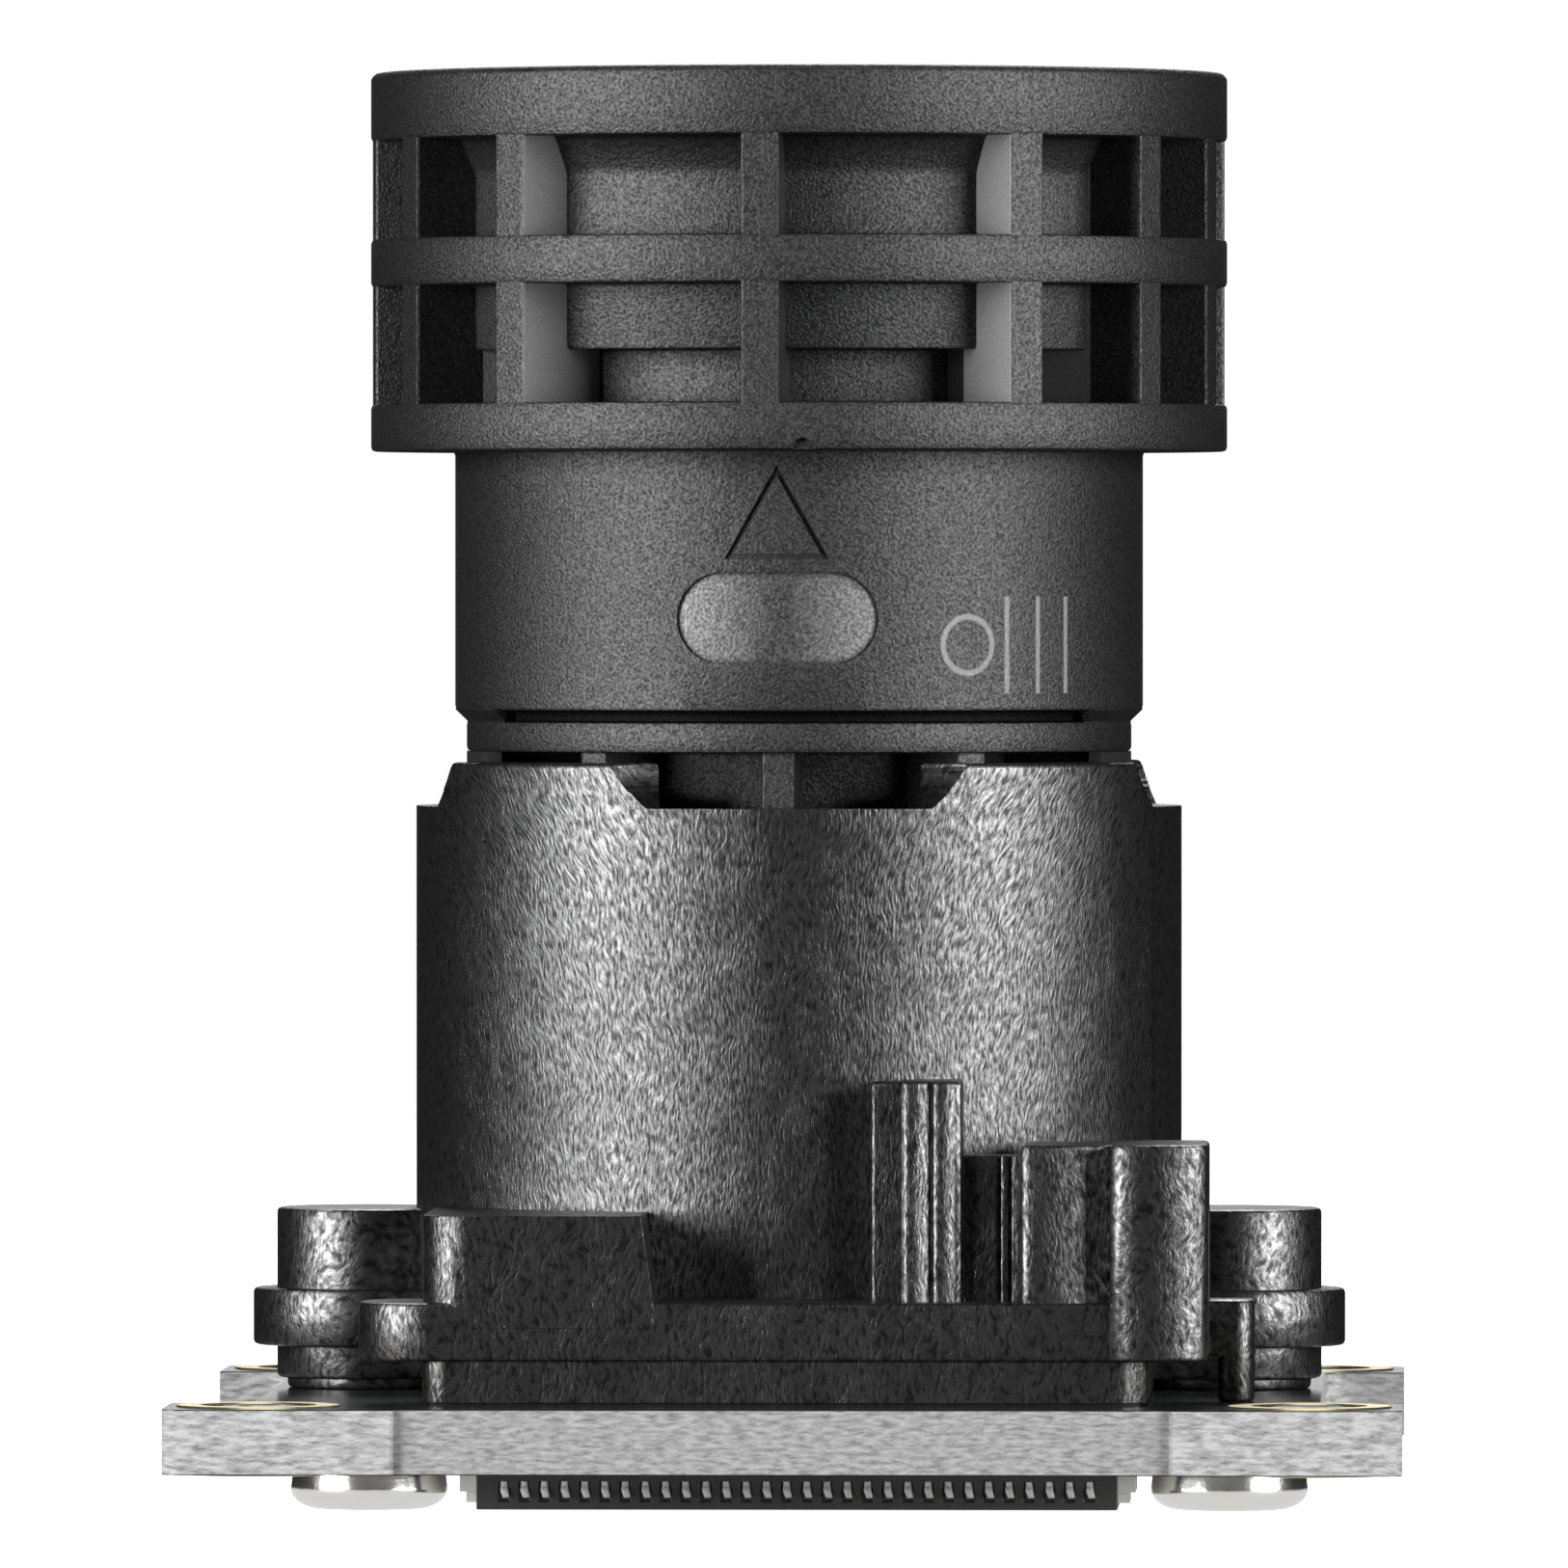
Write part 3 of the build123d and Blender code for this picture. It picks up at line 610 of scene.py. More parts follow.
# Silicon under its filter array: dark and glossy, with a two-coloured check.
die_right = box_mm("sensor_die")[1]
die_back = box_mm("sensor_die")[3]
active_margin = 0.6
pixel_block_mm = 0.05
silicon, add, shader = new_material("polished silicon with a colour filter array")
place = add("TexCoord")
axes = add("SeparateXYZ", {0: place.outputs["Object"]})
inside = []
for axis, half in (("X", die_right - active_margin), ("Y", die_back - active_margin)):
    away = add("Math", {0: axes.outputs[axis]}, operation="ABSOLUTE")
    inside.append(add("Math", {0: away, 1: half * MM}, operation="LESS_THAN"))
active = add("Math", {0: inside[0], 1: inside[1]}, operation="MULTIPLY")
pixels = add(
    "TexChecker",
    {"Vector": spaced(add, 1), "Scale": 1 / pixel_block_mm, "Color1": srgb("2C3A34"),
     "Color2": srgb("3B3346")},
)
die_tone = add("Mix", {0: active, 6: srgb("6E6A66"), 7: pixels}, data_type="RGBA")
wire(shader, {"Base Color": die_tone.outputs[2], "Metallic": 0.6, "Roughness": 0.16})
give("sensor_die", silicon)


# Glass: the cover glass, the blue-tinted infrared filter and the ground lenses, each with
# the thin coating that keeps reflections down and turns what is left of them violet.
coating_index = 1.38
dust_mm = 0.5


def optical_glass(name, colour, index, film_nm):
    material, add, shader = new_material(name)
    dust = add("TexNoise", {"Vector": spaced(add, dust_mm), "Scale": 1.0, "Detail": 5.0})
    haze = add(
        "MapRange", {"Value": dust, "From Min": 0.55, "From Max": 0.8, "To Min": 0.0, "To Max": 0.06}
    )
    wire(shader, {
        "Base Color": srgb(colour), "Roughness": haze, "Transmission Weight": 1.0, "IOR": index,
        "Thin Film Thickness": film_nm, "Thin Film IOR": coating_index,
    })
    return material


give("sensor_cover_glass", optical_glass("borosilicate cover glass", "F4F7F5", 1.52, 100))
give("infrared_filter", optical_glass("coated filter glass", "9CC7D6", 1.52, 420))
lens_glass = optical_glass("coated lens glass", "F1F4EE", 1.7, 110)
for lens in ("front_lens", "second_lens", "third_lens", "fourth_lens", "fifth_lens"):
    give(lens, lens_glass)


# Lens holder: one moulding in glass-fibre filled nylon. Its foot stands on the board, two
# bosses take the screws, and the notched tube holds the barrel while its glue sets.
def arc(x, y, radius, start, sweep, steps):
    turns = [math.radians(start + sweep * step / steps) for step in range(steps + 1)]
    return [(x + radius * math.cos(turn), y + radius * math.sin(turn)) for turn in turns]


def upright(outline, bottom, top):
    return extruded([(x, y, bottom) for x, y in outline], (0, 0, top - bottom))


def rounded_block(left, right, front, back, bottom, top, radius):
    outline = arc(right - radius, front + radius, radius, 270, 90, 6)
    outline += arc(right - radius, back - radius, radius, 0, 90, 6)
    outline += arc(left + radius, back - radius, radius, 90, 90, 6)
    outline += arc(left + radius, front + radius, radius, 180, 90, 6)
    return upright(outline, bottom, top)


def bulged(place, half, front, bulge, turn, steps=16):
    points = []
    for step in range(steps + 1):
        angle = math.pi + math.pi * step / steps
        x = half * math.cos(angle)
        points.append((place + x, front + bulge * (1 + math.sin(angle)) + turn * x))
    return points


def eased(profile, ease, steps=2):
    points = []
    count = len(profile)
    for index, corner in enumerate(profile):
        last = Vector(profile[index - 1])
        here = Vector(corner)
        following = Vector(profile[(index + 1) % count])
        reach = min(ease, (here - last).length / 3, (following - here).length / 3)
        before = here + (last - here).normalized() * reach
        after = here + (following - here).normalized() * reach
        for step in range(steps + 1):
            share = step / steps
            points.append(tuple(before.lerp(here, share).lerp(here.lerp(after, share), share)))
    return points


def rotated(piece, degrees):
    piece.data.transform(Matrix.Rotation(math.radians(degrees), 4, "Z"))
    return piece


holder_glue = 0.05
holder_bottom = board_top_mm + holder_glue
foot_half_width = 7.05
foot_half_depth = 9.9
lip_front = 10.0
lip_left = -8.33
lip_right = 8.1
lip_depth = 2.88
lip_radius = 1.43
lip_bottom = 3.27
lip_top = 4.41
screw_place = 8.55
lug_radius = 2.3
boss_radius = 1.83
boss_foot_radius = 1.62
boss_foot_top = 2.62
boss_top = 6.0
web_half = 1.5
edge_soft = 0.09
facet_width = 0.62
facet_setback = 0.44
foot_radius = 0.5
overlap = 0.1

tube_radius = 7.6
tube_bore = 6.5
tube_top = box_mm("lens_holder")[5]
tube_floor = 5.21
tube_ease = 0.12
tube_soft = 0.05
notch_bottom = 13.98
notch_edge_half = 2.57
notch_floor_half = 2.79
notch_mouth_half = 3.52
notch_steps = 24
notch_cut = 2.5
tube_steps = 144

tube_side = [
    (tube_bore, lip_bottom), (tube_radius, lip_bottom), (tube_radius, tube_top), (tube_bore, tube_top),
]
holder = closed_turned(eased(tube_side, tube_ease), tube_steps)
edge_depth = math.sqrt(tube_bore ** 2 - notch_edge_half ** 2)
floor_flare, mouth_flare = (
    (half - notch_edge_half) / (math.sqrt(tube_radius ** 2 - half ** 2) - edge_depth)
    for half in (notch_floor_half, notch_mouth_half)
)
notch_height = tube_top - notch_bottom
notch_levels = [notch_bottom + step / notch_steps * notch_height for step in range(notch_steps + 1)]
notch_levels.append(tube_top + 1)
notch_side = [(1, z) for z in notch_levels] + [(-1, z) for z in reversed(notch_levels)]
notches = []
for turn in (0, 90, 180, 270):
    notch = extruded([(x, 1 - tube_bore, z) for x, z in notch_side], (0, -notch_cut, 0))
    for vertex in notch.data.vertices:
        share = min((vertex.co.z / MM - notch_bottom) / notch_height, 1)
        flare = floor_flare + share * (mouth_flare - floor_flare)
        half = notch_edge_half + (abs(vertex.co.y) / MM - edge_depth) * flare
        vertex.co.x = math.copysign(half * MM, vertex.co.x)
    notches.append(rotated(notch, turn))
combine(holder, join(notches), "DIFFERENCE")
soften(holder, tube_soft, 2, 44)

# Foot, lips, bosses and lugs. Every block has its own moulded edge before it is joined.
foot = rounded_block(
    -foot_half_width, foot_half_width, -foot_half_depth, foot_half_depth, holder_bottom, lip_top, foot_radius
)
facet_left = foot_half_width - facet_width
facet_right = foot_half_width + 2 * overlap
facet = [
    (facet_left, -foot_half_depth), (facet_right, -foot_half_depth + facet_setback),
    (facet_right, -foot_half_depth - overlap), (facet_left, -foot_half_depth - overlap),
]
grown = [combine(foot, upright(facet, holder_bottom - overlap, lip_bottom + 2 * overlap), "DIFFERENCE")]
for side in (-1, 1):
    near, far = sorted((side * (lip_front - lip_depth), side * lip_front))
    place = side * screw_place
    left, right = sorted((side * (foot_half_width - foot_radius), place))
    grown += [
        rounded_block(lip_left, lip_right, near, far, lip_bottom, lip_top, lip_radius),
        rod(place, 0, boss_radius, boss_foot_top, boss_top),
        rod(place, 0, boss_foot_radius, board_top_mm, boss_foot_top + overlap),
        rod(place, 0, lug_radius, lip_bottom, lip_top, 64),
        block(left, right, -web_half, web_half, boss_foot_top, boss_top),
    ]

# Details on the front: gate block, locating fin with two ridges, panel, columns and post.
block_right = -2.65
block_top = 6.1
block_draft = 0.12
block_proud = 0.02
block_radius = 0.9
block_root = lip_top - 0.5
fin_left = 1.65
fin_right = 3.43
fin_top = 8.7
fin_front = -9.0
fin_back = -3.0
fin_cheek = 0.6
fin_cheek_setback = 0.7
fin_cheek_right = fin_right - 0.5
fin_cheek_top = fin_top - 0.03
panel_right = 4.7
panel_top = 7.25
panel_front = -8.7
panel_back = -7.8
line_places = (4.15, 4.36)
line_half = 0.035
line_sink = 0.12
column_top = 7.5
post_x = 8.75
post_y = -7.2
post_radius = 0.36
arm_left = 7.9
arm_right = 9.11
arm_back = -6.3
arm_bulge = 0.4
front_bottom = lip_bottom + 0.02

gate_side = [
    (-foot_half_width, block_root), (block_right + block_draft, block_root),
    (block_right + block_draft, lip_top), (block_right - block_draft, block_top),
    (-foot_half_width, block_top),
]
gate = extruded([(x, -block_proud, z) for x, z in gate_side], (0, -lip_front, 0))
corner = rounded_block(
    -foot_half_width, foot_half_width, -lip_front - block_proud, lip_front, lip_bottom, block_top + 1,
    block_radius,
)
panel = block(fin_right - overlap, panel_right, panel_front, panel_back, lip_bottom, panel_top)
lines = join([
    block(
        place - line_half, place + line_half, panel_front - overlap, panel_front + line_sink, lip_top,
        panel_top + overlap,
    )
    for place in line_places
])
cheek_front = fin_front + fin_cheek_setback
grown += [
    combine(gate, corner, "INTERSECT"),
    block(fin_left + fin_cheek, fin_right, fin_front, fin_back, lip_bottom, fin_top),
    block(fin_left, fin_cheek_right, cheek_front, fin_back, lip_bottom, fin_cheek_top),
    combine(panel, lines, "DIFFERENCE"),
]

# Two ridges on the fin, then two columns: where each stands, half its width, its front,
# how far that bulges and turns, and its top.
for place, half, front, bulge, turn, top in (
    (2.56, 0.27, fin_front - 0.14, 0.12, 0.24, fin_top - 0.02),
    (3.12, 0.25, fin_front - 0.12, 0.12, 0.24, fin_top - 0.02),
    (5.58, 0.98, -9.7, 0.30, 0.30, column_top - 0.03),
    (7.28, 0.95, -10.35, 0.42, 0.12, column_top),
):
    outline = [(place + half, -tube_bore), (place - half, -tube_bore)]
    grown.append(upright(outline + bulged(place, half, front, bulge, turn), front_bottom, top))
arm_middle = (arm_right + arm_left) / 2
arm = [(arm_right, arm_back), (lip_right - lip_radius, arm_back)]
arm += bulged(arm_middle, (arm_right - arm_left) / 2, post_y - post_radius, arm_bulge, 0, 12)
grown += [rod(post_x, post_y, post_radius, board_top_mm, lip_top, 24), upright(arm, lip_bottom, lip_top)]
for part in grown:
    soften(part, edge_soft, 2, 50)
    combine(holder, part, "UNION")

# Room below the tube for the sensor, pockets that keep the walls even, the light's window
# with the filter's seat, and the pilot holes of the screws.
room_half_width = 6.1
room_half_depth = 5.9
room_top = 3.91
pocket_half_width = 5.8
pocket_middle = 7.8
pocket_half_depth = 1.1
pocket_top = 3.76
window_half = (4.3, 2.9)
seat_half = (4.83, 3.43)
seat_bottom = 4.91
pilot_radius = 0.82
pilot_top = 5.64
room_radius = 0.6

hollows = [
    rounded_block(
        -room_half_width, room_half_width, -room_half_depth, room_half_depth, board_top_mm - 0.5, room_top,
        room_radius,
    ),
    block(-window_half[0], window_half[0], -window_half[1], window_half[1], room_top - 0.3, tube_floor + 0.2),
    block(-seat_half[0], seat_half[0], -seat_half[1], seat_half[1], seat_bottom, tube_floor + 0.3),
]
for side in (-1, 1):
    near = side * pocket_middle - pocket_half_depth
    far = side * pocket_middle + pocket_half_depth
    hollows.append(block(-pocket_half_width, pocket_half_width, near, far, board_top_mm - 0.4, pocket_top))
    hollows.append(rod(side * screw_place, 0, pilot_radius, board_top_mm - 0.3, pilot_top, 32))
for hollow in hollows:
    combine(holder, hollow, "DIFFERENCE")
smooth(holder, 40)
modified(holder, "even normals", "WEIGHTED_NORMAL", keep_sharp=True)

# Nylon with short glass fibres: they lie along the flow of the melt, up the tube and
# outwards near its top, and come to the surface as fine pale streaks that catch light.
streak_width_mm = 0.05
streak_length_mm = 0.20
streak_layers_per_mm = 3.0
streak_fan = 0.0063
fan_start_mm = 8.0
wander_mm = 1.3
wander_reach_mm = 0.55

nylon, add, shader = new_material("glass-fibre filled nylon")
place = add("TexCoord")
axes = add("SeparateXYZ", {0: place.outputs["Object"]})
back_y = add("Math", {0: axes.outputs["Y"], 1: -1.0}, operation="MULTIPLY")
angle = add("Math", {0: axes.outputs["X"], 1: back_y}, operation="ARCTAN2")
round_tube = add("Math", {0: angle, 1: tube_radius}, operation="MULTIPLY")
rise = add("Math", {0: axes.outputs["Z"], 1: 1 / MM}, operation="MULTIPLY")
over = add("Math", {0: rise, 1: fan_start_mm}, operation="SUBTRACT")
over = add("Math", {0: over, 1: 0.0}, operation="MAXIMUM")
square = add("Math", {0: over, 1: 2.0}, operation="POWER")
narrow = add("Math", {0: square, 1: -streak_fan, 2: 1.0}, operation="MULTIPLY_ADD")
fanned = add("Math", {0: round_tube, 1: narrow}, operation="MULTIPLY")
wander = add("TexNoise", {"Vector": spaced(add, wander_mm), "Scale": 1.0, "Detail": 2.0})
drift = add("Math", {0: wander, 1: wander_reach_mm, 2: fanned}, operation="MULTIPLY_ADD")
flat = add("CombineXYZ", {"X": axes.outputs["X"], "Y": axes.outputs["Y"]})
reach = add("VectorMath", {0: flat}, operation="LENGTH")
flow = add("CombineXYZ", {"X": drift, "Y": rise, "Z": reach.outputs["Value"]})
flow = add(
    "VectorMath", {0: flow, 1: (1 / streak_width_mm, 1 / streak_length_mm, streak_layers_per_mm / MM)},
    operation="MULTIPLY",
)
fibres = add("TexNoise", {"Vector": flow, "Scale": 1.0, "Detail": 3.0, "Roughness": 0.6})
nylon_tone = add("ValToRGB", {0: fibres}, stops=((0.42, "040404"), (0.72, "161616")))
nylon_rough = add(
    "MapRange", {"Value": fibres, "From Min": 0.45, "From Max": 0.65, "To Min": 0.40, "To Max": 0.30}
)
nylon_shine = add(
    "MapRange", {"Value": fibres, "From Min": 0.36, "From Max": 0.64, "To Min": 0.15, "To Max": 0.92}
)
nylon_bump = add("Bump", {"Height": fibres, "Strength": 0.9, "Distance": 0.018 * MM})
wire(shader, {
    "Base Color": nylon_tone, "Roughness": nylon_rough, "IOR": 1.65, "Specular IOR Level": nylon_shine,
    "Normal": nylon_bump,
})
ready(holder, "holder_moulding", nylon, ["lens_holder"])


# Adhesive: the grey epoxy bead that seals the foot to the board, and two beads in the
# side notches that lock the barrel once the lens has been aligned.

# Epoxy with a grey filler: it sets with a half gloss skin.
glue = grained("cured grey epoxy adhesive", 0.3, 3.0, ["1A1A1B", "2C2C2E"], 0.35)
give("holder_adhesive", glue)
give("barrel_adhesive", glue)


# Lens barrel: one moulding in carbon-black filled polycarbonate, turned in its holder to
# focus. Its hood carries three rings and fourteen ribs, its skirt ten ribs.
barrel_low, barrel_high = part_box("lens_barrel")
skirt_bottom = barrel_low[2] / MM
hood_top = barrel_high[2] / MM
skirt_radius = 4.5
neck_bottom = 15.06
neck_top = 15.66
neck_radius = 6.6
groove_radius = 6.35
barrel_bottom = 15.88
barrel_radius = 6.83
hood_bottom = 21.0
hood_radius = 8.5
low_window = 21.93
low_core_top = 22.97
low_core_radius = 6.15
high_core_radius = 7.2
middle_ring = 24.26
high_window = 25.2
top_ring = 27.15
flare_height = 0.7
flare_spread = 0.35
rim_mouth = 7.3
rim_cone = 1.4
front_bore = 5.9
front_seat = 24.0
middle_bore = 4.9
stop_web_top = 18.6
stop_web_bottom = 17.6
stop_bore = 3.2
rear_bore = 3.7
rim_bevel = 0.1
barrel_ease = 0.09
barrel_steps = 192

barrel_side = [
    (skirt_radius, skirt_bottom), (skirt_radius, neck_bottom), (neck_radius, neck_bottom),
    (neck_radius, neck_top), (groove_radius, neck_top), (groove_radius, barrel_bottom),
    (barrel_radius, barrel_bottom), (barrel_radius, hood_bottom), (hood_radius, hood_bottom),
    (hood_radius, low_window), (low_core_radius, low_window), (low_core_radius, low_core_top),
    (high_core_radius, low_core_top), (high_core_radius, middle_ring), (hood_radius, middle_ring),
    (hood_radius, high_window), (high_core_radius, high_window), (high_core_radius, top_ring - flare_height),
    (high_core_radius + flare_spread, top_ring), (hood_radius, top_ring), (hood_radius, hood_top - rim_bevel),
    (hood_radius - rim_bevel, hood_top), (rim_mouth, hood_top), (front_bore, hood_top - rim_cone),
    (front_bore, front_seat), (middle_bore, front_seat), (middle_bore, stop_web_top),
    (stop_bore, stop_web_top), (stop_bore, stop_web_bottom), (rear_bore, stop_web_bottom),
    (rear_bore, skirt_bottom),
]
barrel = closed_turned(eased(barrel_side, barrel_ease), barrel_steps)

# Ribs of the hood, between its rings, and of the skirt, which centre it in the holder.
hood_turn = -3.5
hood_rib_half = 0.375
hood_rib_proud = 8.46
rib_angles = (0, 37, 60, 80, 100, 120, 143, 180, -143, -120, -100, -80, -60, -37)
skirt_rib_half = 0.32
skirt_rib_reach = 6.35
skirt_rib_length = 5.4
skirt_rib_count = 10
mark_turn = -2.0
rib_sink = 0.3
rib_soft = 0.06

hood_rib = block(
    -hood_rib_half, hood_rib_half, -hood_rib_proud, -(low_core_radius - rib_sink),
    low_window - rib_sink, top_ring + rib_sink,
)
skirt_step = 360 / skirt_rib_count
skirt_rib = block(
    -skirt_rib_half, skirt_rib_half, -skirt_rib_reach, -(skirt_radius - rib_sink),
    neck_bottom - skirt_rib_length, neck_bottom + rib_sink,
)
ribs = []
for rib, turns in (
    (hood_rib, [hood_turn + angle for angle in rib_angles]),
    (skirt_rib, [mark_turn + index * skirt_step for index in range(skirt_rib_count)]),
):
    soften(rib, rib_soft, 2)
    ribs += [copy_at(rib, Matrix.Rotation(math.radians(turn), 4, "Z")) for turn in turns]
    bpy.data.objects.remove(rib)
combine(barrel, join(ribs), "UNION")

# Bridges that fill the groove at both sides of the neck, and marks sunk by the mould: an
# obround pocket with an outlined triangle above it, and the gate's notch under the hood.
pocket_half = 1.98
pocket_radius = 0.9
pocket_middle_z = 17.7
mark_depth = 0.07
triangle_base = 18.86
triangle_top = 20.7
triangle_half = 1.03
triangle_line = 0.1
bridge_half_angle = math.radians(30)
bridge_sink = 0.15
bridge_overlap = 0.06
bridge_setback = 0.01
wedge_reach = 12
wedge_bottom = 15
wedge_top = 17
gate_x = 0.32
gate_radius = 0.22
gate_depth = 1.15
cut_front = -8
cut_depth = 4

bridge_bottom = neck_top - bridge_overlap
bridge_top = barrel_bottom + bridge_overlap
bridge_inner = groove_radius - bridge_sink
bridge_low = neck_radius - bridge_setback
bridge_high = barrel_radius - bridge_setback
bridge_side = [
    (bridge_inner, bridge_bottom), (bridge_low, bridge_bottom), (bridge_low, neck_top),
    (bridge_high, barrel_bottom), (bridge_high, bridge_top), (bridge_inner, bridge_top),
]
bridge = closed_turned(bridge_side, barrel_steps)
wedge_half = wedge_reach * math.tan(bridge_half_angle)
wedges = join([
    upright(
        [(0, 0), (way * wedge_reach, -wedge_half), (way * wedge_reach, wedge_half)], wedge_bottom, wedge_top
    )
    for way in (-1, 1)
])
combine(bridge, wedges, "INTERSECT")
combine(barrel, bridge, "UNION")


def cutter(outline, front, depth):
    return extruded([(x, front, z) for x, z in outline], (0, depth, 0))


vestige = arc(gate_x, hood_bottom, gate_radius, 0, 345, 23)
combine(barrel, cutter(vestige, -hood_radius - 1, gate_depth), "DIFFERENCE")
pocket = arc(pocket_half - pocket_radius, pocket_middle_z, pocket_radius, -90, 180, 16)
pocket += arc(pocket_radius - pocket_half, pocket_middle_z, pocket_radius, 90, 180, 16)
marks = cutter(pocket, cut_front, cut_depth)
triangle = cutter(
    [(-triangle_half, triangle_base), (triangle_half, triangle_base), (0, triangle_top)], cut_front, cut_depth
)
slope = math.hypot(triangle_half, triangle_top - triangle_base)
inner_half = triangle_half - triangle_line * (slope + triangle_half) / (triangle_top - triangle_base)
inner_base = triangle_base + triangle_line
inner_top = triangle_top - triangle_line * slope / triangle_half
inner = cutter(
    [(-inner_half, inner_base), (inner_half, inner_base), (0, inner_top)], cut_front - 1, cut_depth + 2
)
combine(triangle, inner, "DIFFERENCE")
marks = join([marks, triangle])
combine(marks, rod(0, 0, barrel_radius - mark_depth, skirt_bottom, hood_top, barrel_steps), "DIFFERENCE")
combine(barrel, rotated(marks, mark_turn), "DIFFERENCE")
smooth(barrel, 40)
modified(barrel, "even normals", "WEIGHTED_NORMAL", keep_sharp=True)

# Polycarbonate from a spark-eroded mould: an even, very fine matt grain, with soft clouds
# where the mould is worn, and a smoother floor in the pocket, whose reflection of the lamps is painted in as
# a paler tone, brightest towards both ends. The walls between the hood's front ribs that slides form are
# plainer, and the lamp light on them is painted in as a paler grey. The groove between neck and barrel loses
# its shine as a painted shadow, and an index mark is inked on.
grain_mm = 0.06
cloud_mm = 1.6
pocket_front = -6.0
pocket_soft = (0.12, 0.02)
pocket_reflection_gain = (9.0, 56.0)
groove_spare = 0.02
groove_edge = 0.04
slide_middle = 4.8
slide_reach = 1.2
index_middle = 5.37
index_height = 17.18
bar_pitch = 0.8
bar_half = 0.95
ring_shift = 1.71
ring_radius = 0.55
ink_line = 0.15
ink_soft = 0.04
row_half = 1.4 * bar_pitch

polycarbonate, add, shader = new_material("spark-grained black polycarbonate")
grain = add("TexNoise", {"Vector": spaced(add, grain_mm), "Scale": 1.0, "Detail": 3.0, "Roughness": 0.6})
clouds = add("TexNoise", {"Vector": spaced(add, cloud_mm), "Scale": 1.0, "Detail": 4.0})
speck = add("ValToRGB", {0: grain}, stops=((0.35, "040404"), (0.72, "101010")))
cloud_shade = add("MapRange", {"Value": clouds, "To Min": 0.75, "To Max": 1.25})
barrel_tone = add("VectorMath", {0: speck, "Scale": cloud_shade}, operation="SCALE")
place = add("TexCoord")
turned_back = add(
    "Mapping",
    {"Vector": place.outputs["Object"], "Rotation": (0, 0, -math.radians(mark_turn)), "Scale": (1 / MM,) * 3},
)
axes = add("SeparateXYZ", {0: turned_back})
along = add("Math", {0: axes.outputs["X"]}, operation="ABSOLUTE")
past = add("Math", {0: along, 1: pocket_half - pocket_radius}, operation="SUBTRACT")
past = add("Math", {0: past, 1: 0.0}, operation="MAXIMUM")
rise = add("Math", {0: axes.outputs["Z"], 1: pocket_middle_z}, operation="SUBTRACT")
spread = add("CombineXYZ", {"X": past, "Y": rise})
spread = add("VectorMath", {0: spread}, operation="LENGTH")
in_pocket = add(
    "MapRange",
    {"Value": spread.outputs["Value"], "From Min": pocket_radius - pocket_soft[1],
     "From Max": pocket_radius - pocket_soft[0]},
)
in_front = add("Math", {0: axes.outputs["Y"], 1: pocket_front}, operation="LESS_THAN")
floor_mask = add("Math", {0: in_pocket, 1: in_front}, operation="MULTIPLY")
# Painted reflection: the pocket floor is painted paler, most of all towards its ends, where the lamps show in
# it.
pocket_reflection_along = add(
    "MapRange",
    {"Value": along, "From Min": 0.2, "From Max": pocket_half, "To Min": pocket_reflection_gain[0],
     "To Max": pocket_reflection_gain[1]},
)
pocket_painted_reflection = add("MapRange", {"Value": floor_mask, "To Min": 1.0, "To Max": pocket_reflection_along})
barrel_tone = add("VectorMath", {0: barrel_tone, "Scale": pocket_painted_reflection}, operation="SCALE")
grained_rough = add("MapRange", {"Value": grain, "To Min": 0.55, "To Max": 0.42})
object_axes = add("SeparateXYZ", {0: place.outputs["Object"]})
flat_place = add("CombineXYZ", {"X": object_axes.outputs["X"], "Y": object_axes.outputs["Y"]})
outwards = add("VectorMath", {0: flat_place}, operation="NORMALIZE")
turned_side = add("VectorMath", {0: outwards, 1: (0, 0, 1)}, operation="CROSS_PRODUCT")
facing = add("VectorMath", {0: place.outputs["Normal"], 1: turned_side}, operation="DOT_PRODUCT")
sideways = add("Math", {0: facing.outputs["Value"]}, operation="ABSOLUTE")
slide_wall_finish_and_painted_light = add("MapRange", {"Value": sideways, "From Min": 0.75, "From Max": 0.92})
hood_mask = add("Math", {0: axes.outputs["Z"], 1: hood_bottom}, operation="GREATER_THAN")
front_window = add("Math", {0: along, 1: slide_middle, 2: slide_reach}, operation="COMPARE")
for only in (hood_mask, front_window):
    slide_wall_finish_and_painted_light = add("Math", {0: slide_wall_finish_and_painted_light, 1: only}, operation="MULTIPLY")
# Painted light: the walls between the front ribs are painted a paler grey for the lamp light that falls on
# them; they are also rougher.
barrel_tone = add("Mix", {0: slide_wall_finish_and_painted_light, 6: barrel_tone, 7: srgb("6C6C6C")}, data_type="RGBA")
barrel_rough = add("Mix", {0: floor_mask, 2: grained_rough, 3: 0.40}, data_type="FLOAT")
barrel_rough = add("Mix", {0: slide_wall_finish_and_painted_light, 2: barrel_rough, 3: 0.58}, data_type="FLOAT")
front_y = add("Math", {0: object_axes.outputs["Y"], 1: -1.0}, operation="MULTIPLY")
bearing = add("Math", {0: object_axes.outputs["X"], 1: front_y}, operation="ARCTAN2")
across = add("Math", {0: bearing, 1: barrel_radius, 2: -index_middle}, operation="MULTIPLY_ADD")
level = add("Math", {0: axes.outputs["Z"], 1: index_height}, operation="SUBTRACT")
from_bar = add("Math", {0: across, 1: bar_pitch / 2}, operation="PINGPONG")
off_row = add("Math", {0: across, 1: 0.0, 2: row_half}, operation="COMPARE")
off_height = add("Math", {0: level, 1: 0.0, 2: bar_half}, operation="COMPARE")
ink_edge = {"From Min": ink_line / 2, "From Max": ink_line / 2 - ink_soft}
on_bar = add("MapRange", {"Value": from_bar, **ink_edge})
bars = add("Math", {0: on_bar, 1: off_row}, operation="MULTIPLY")
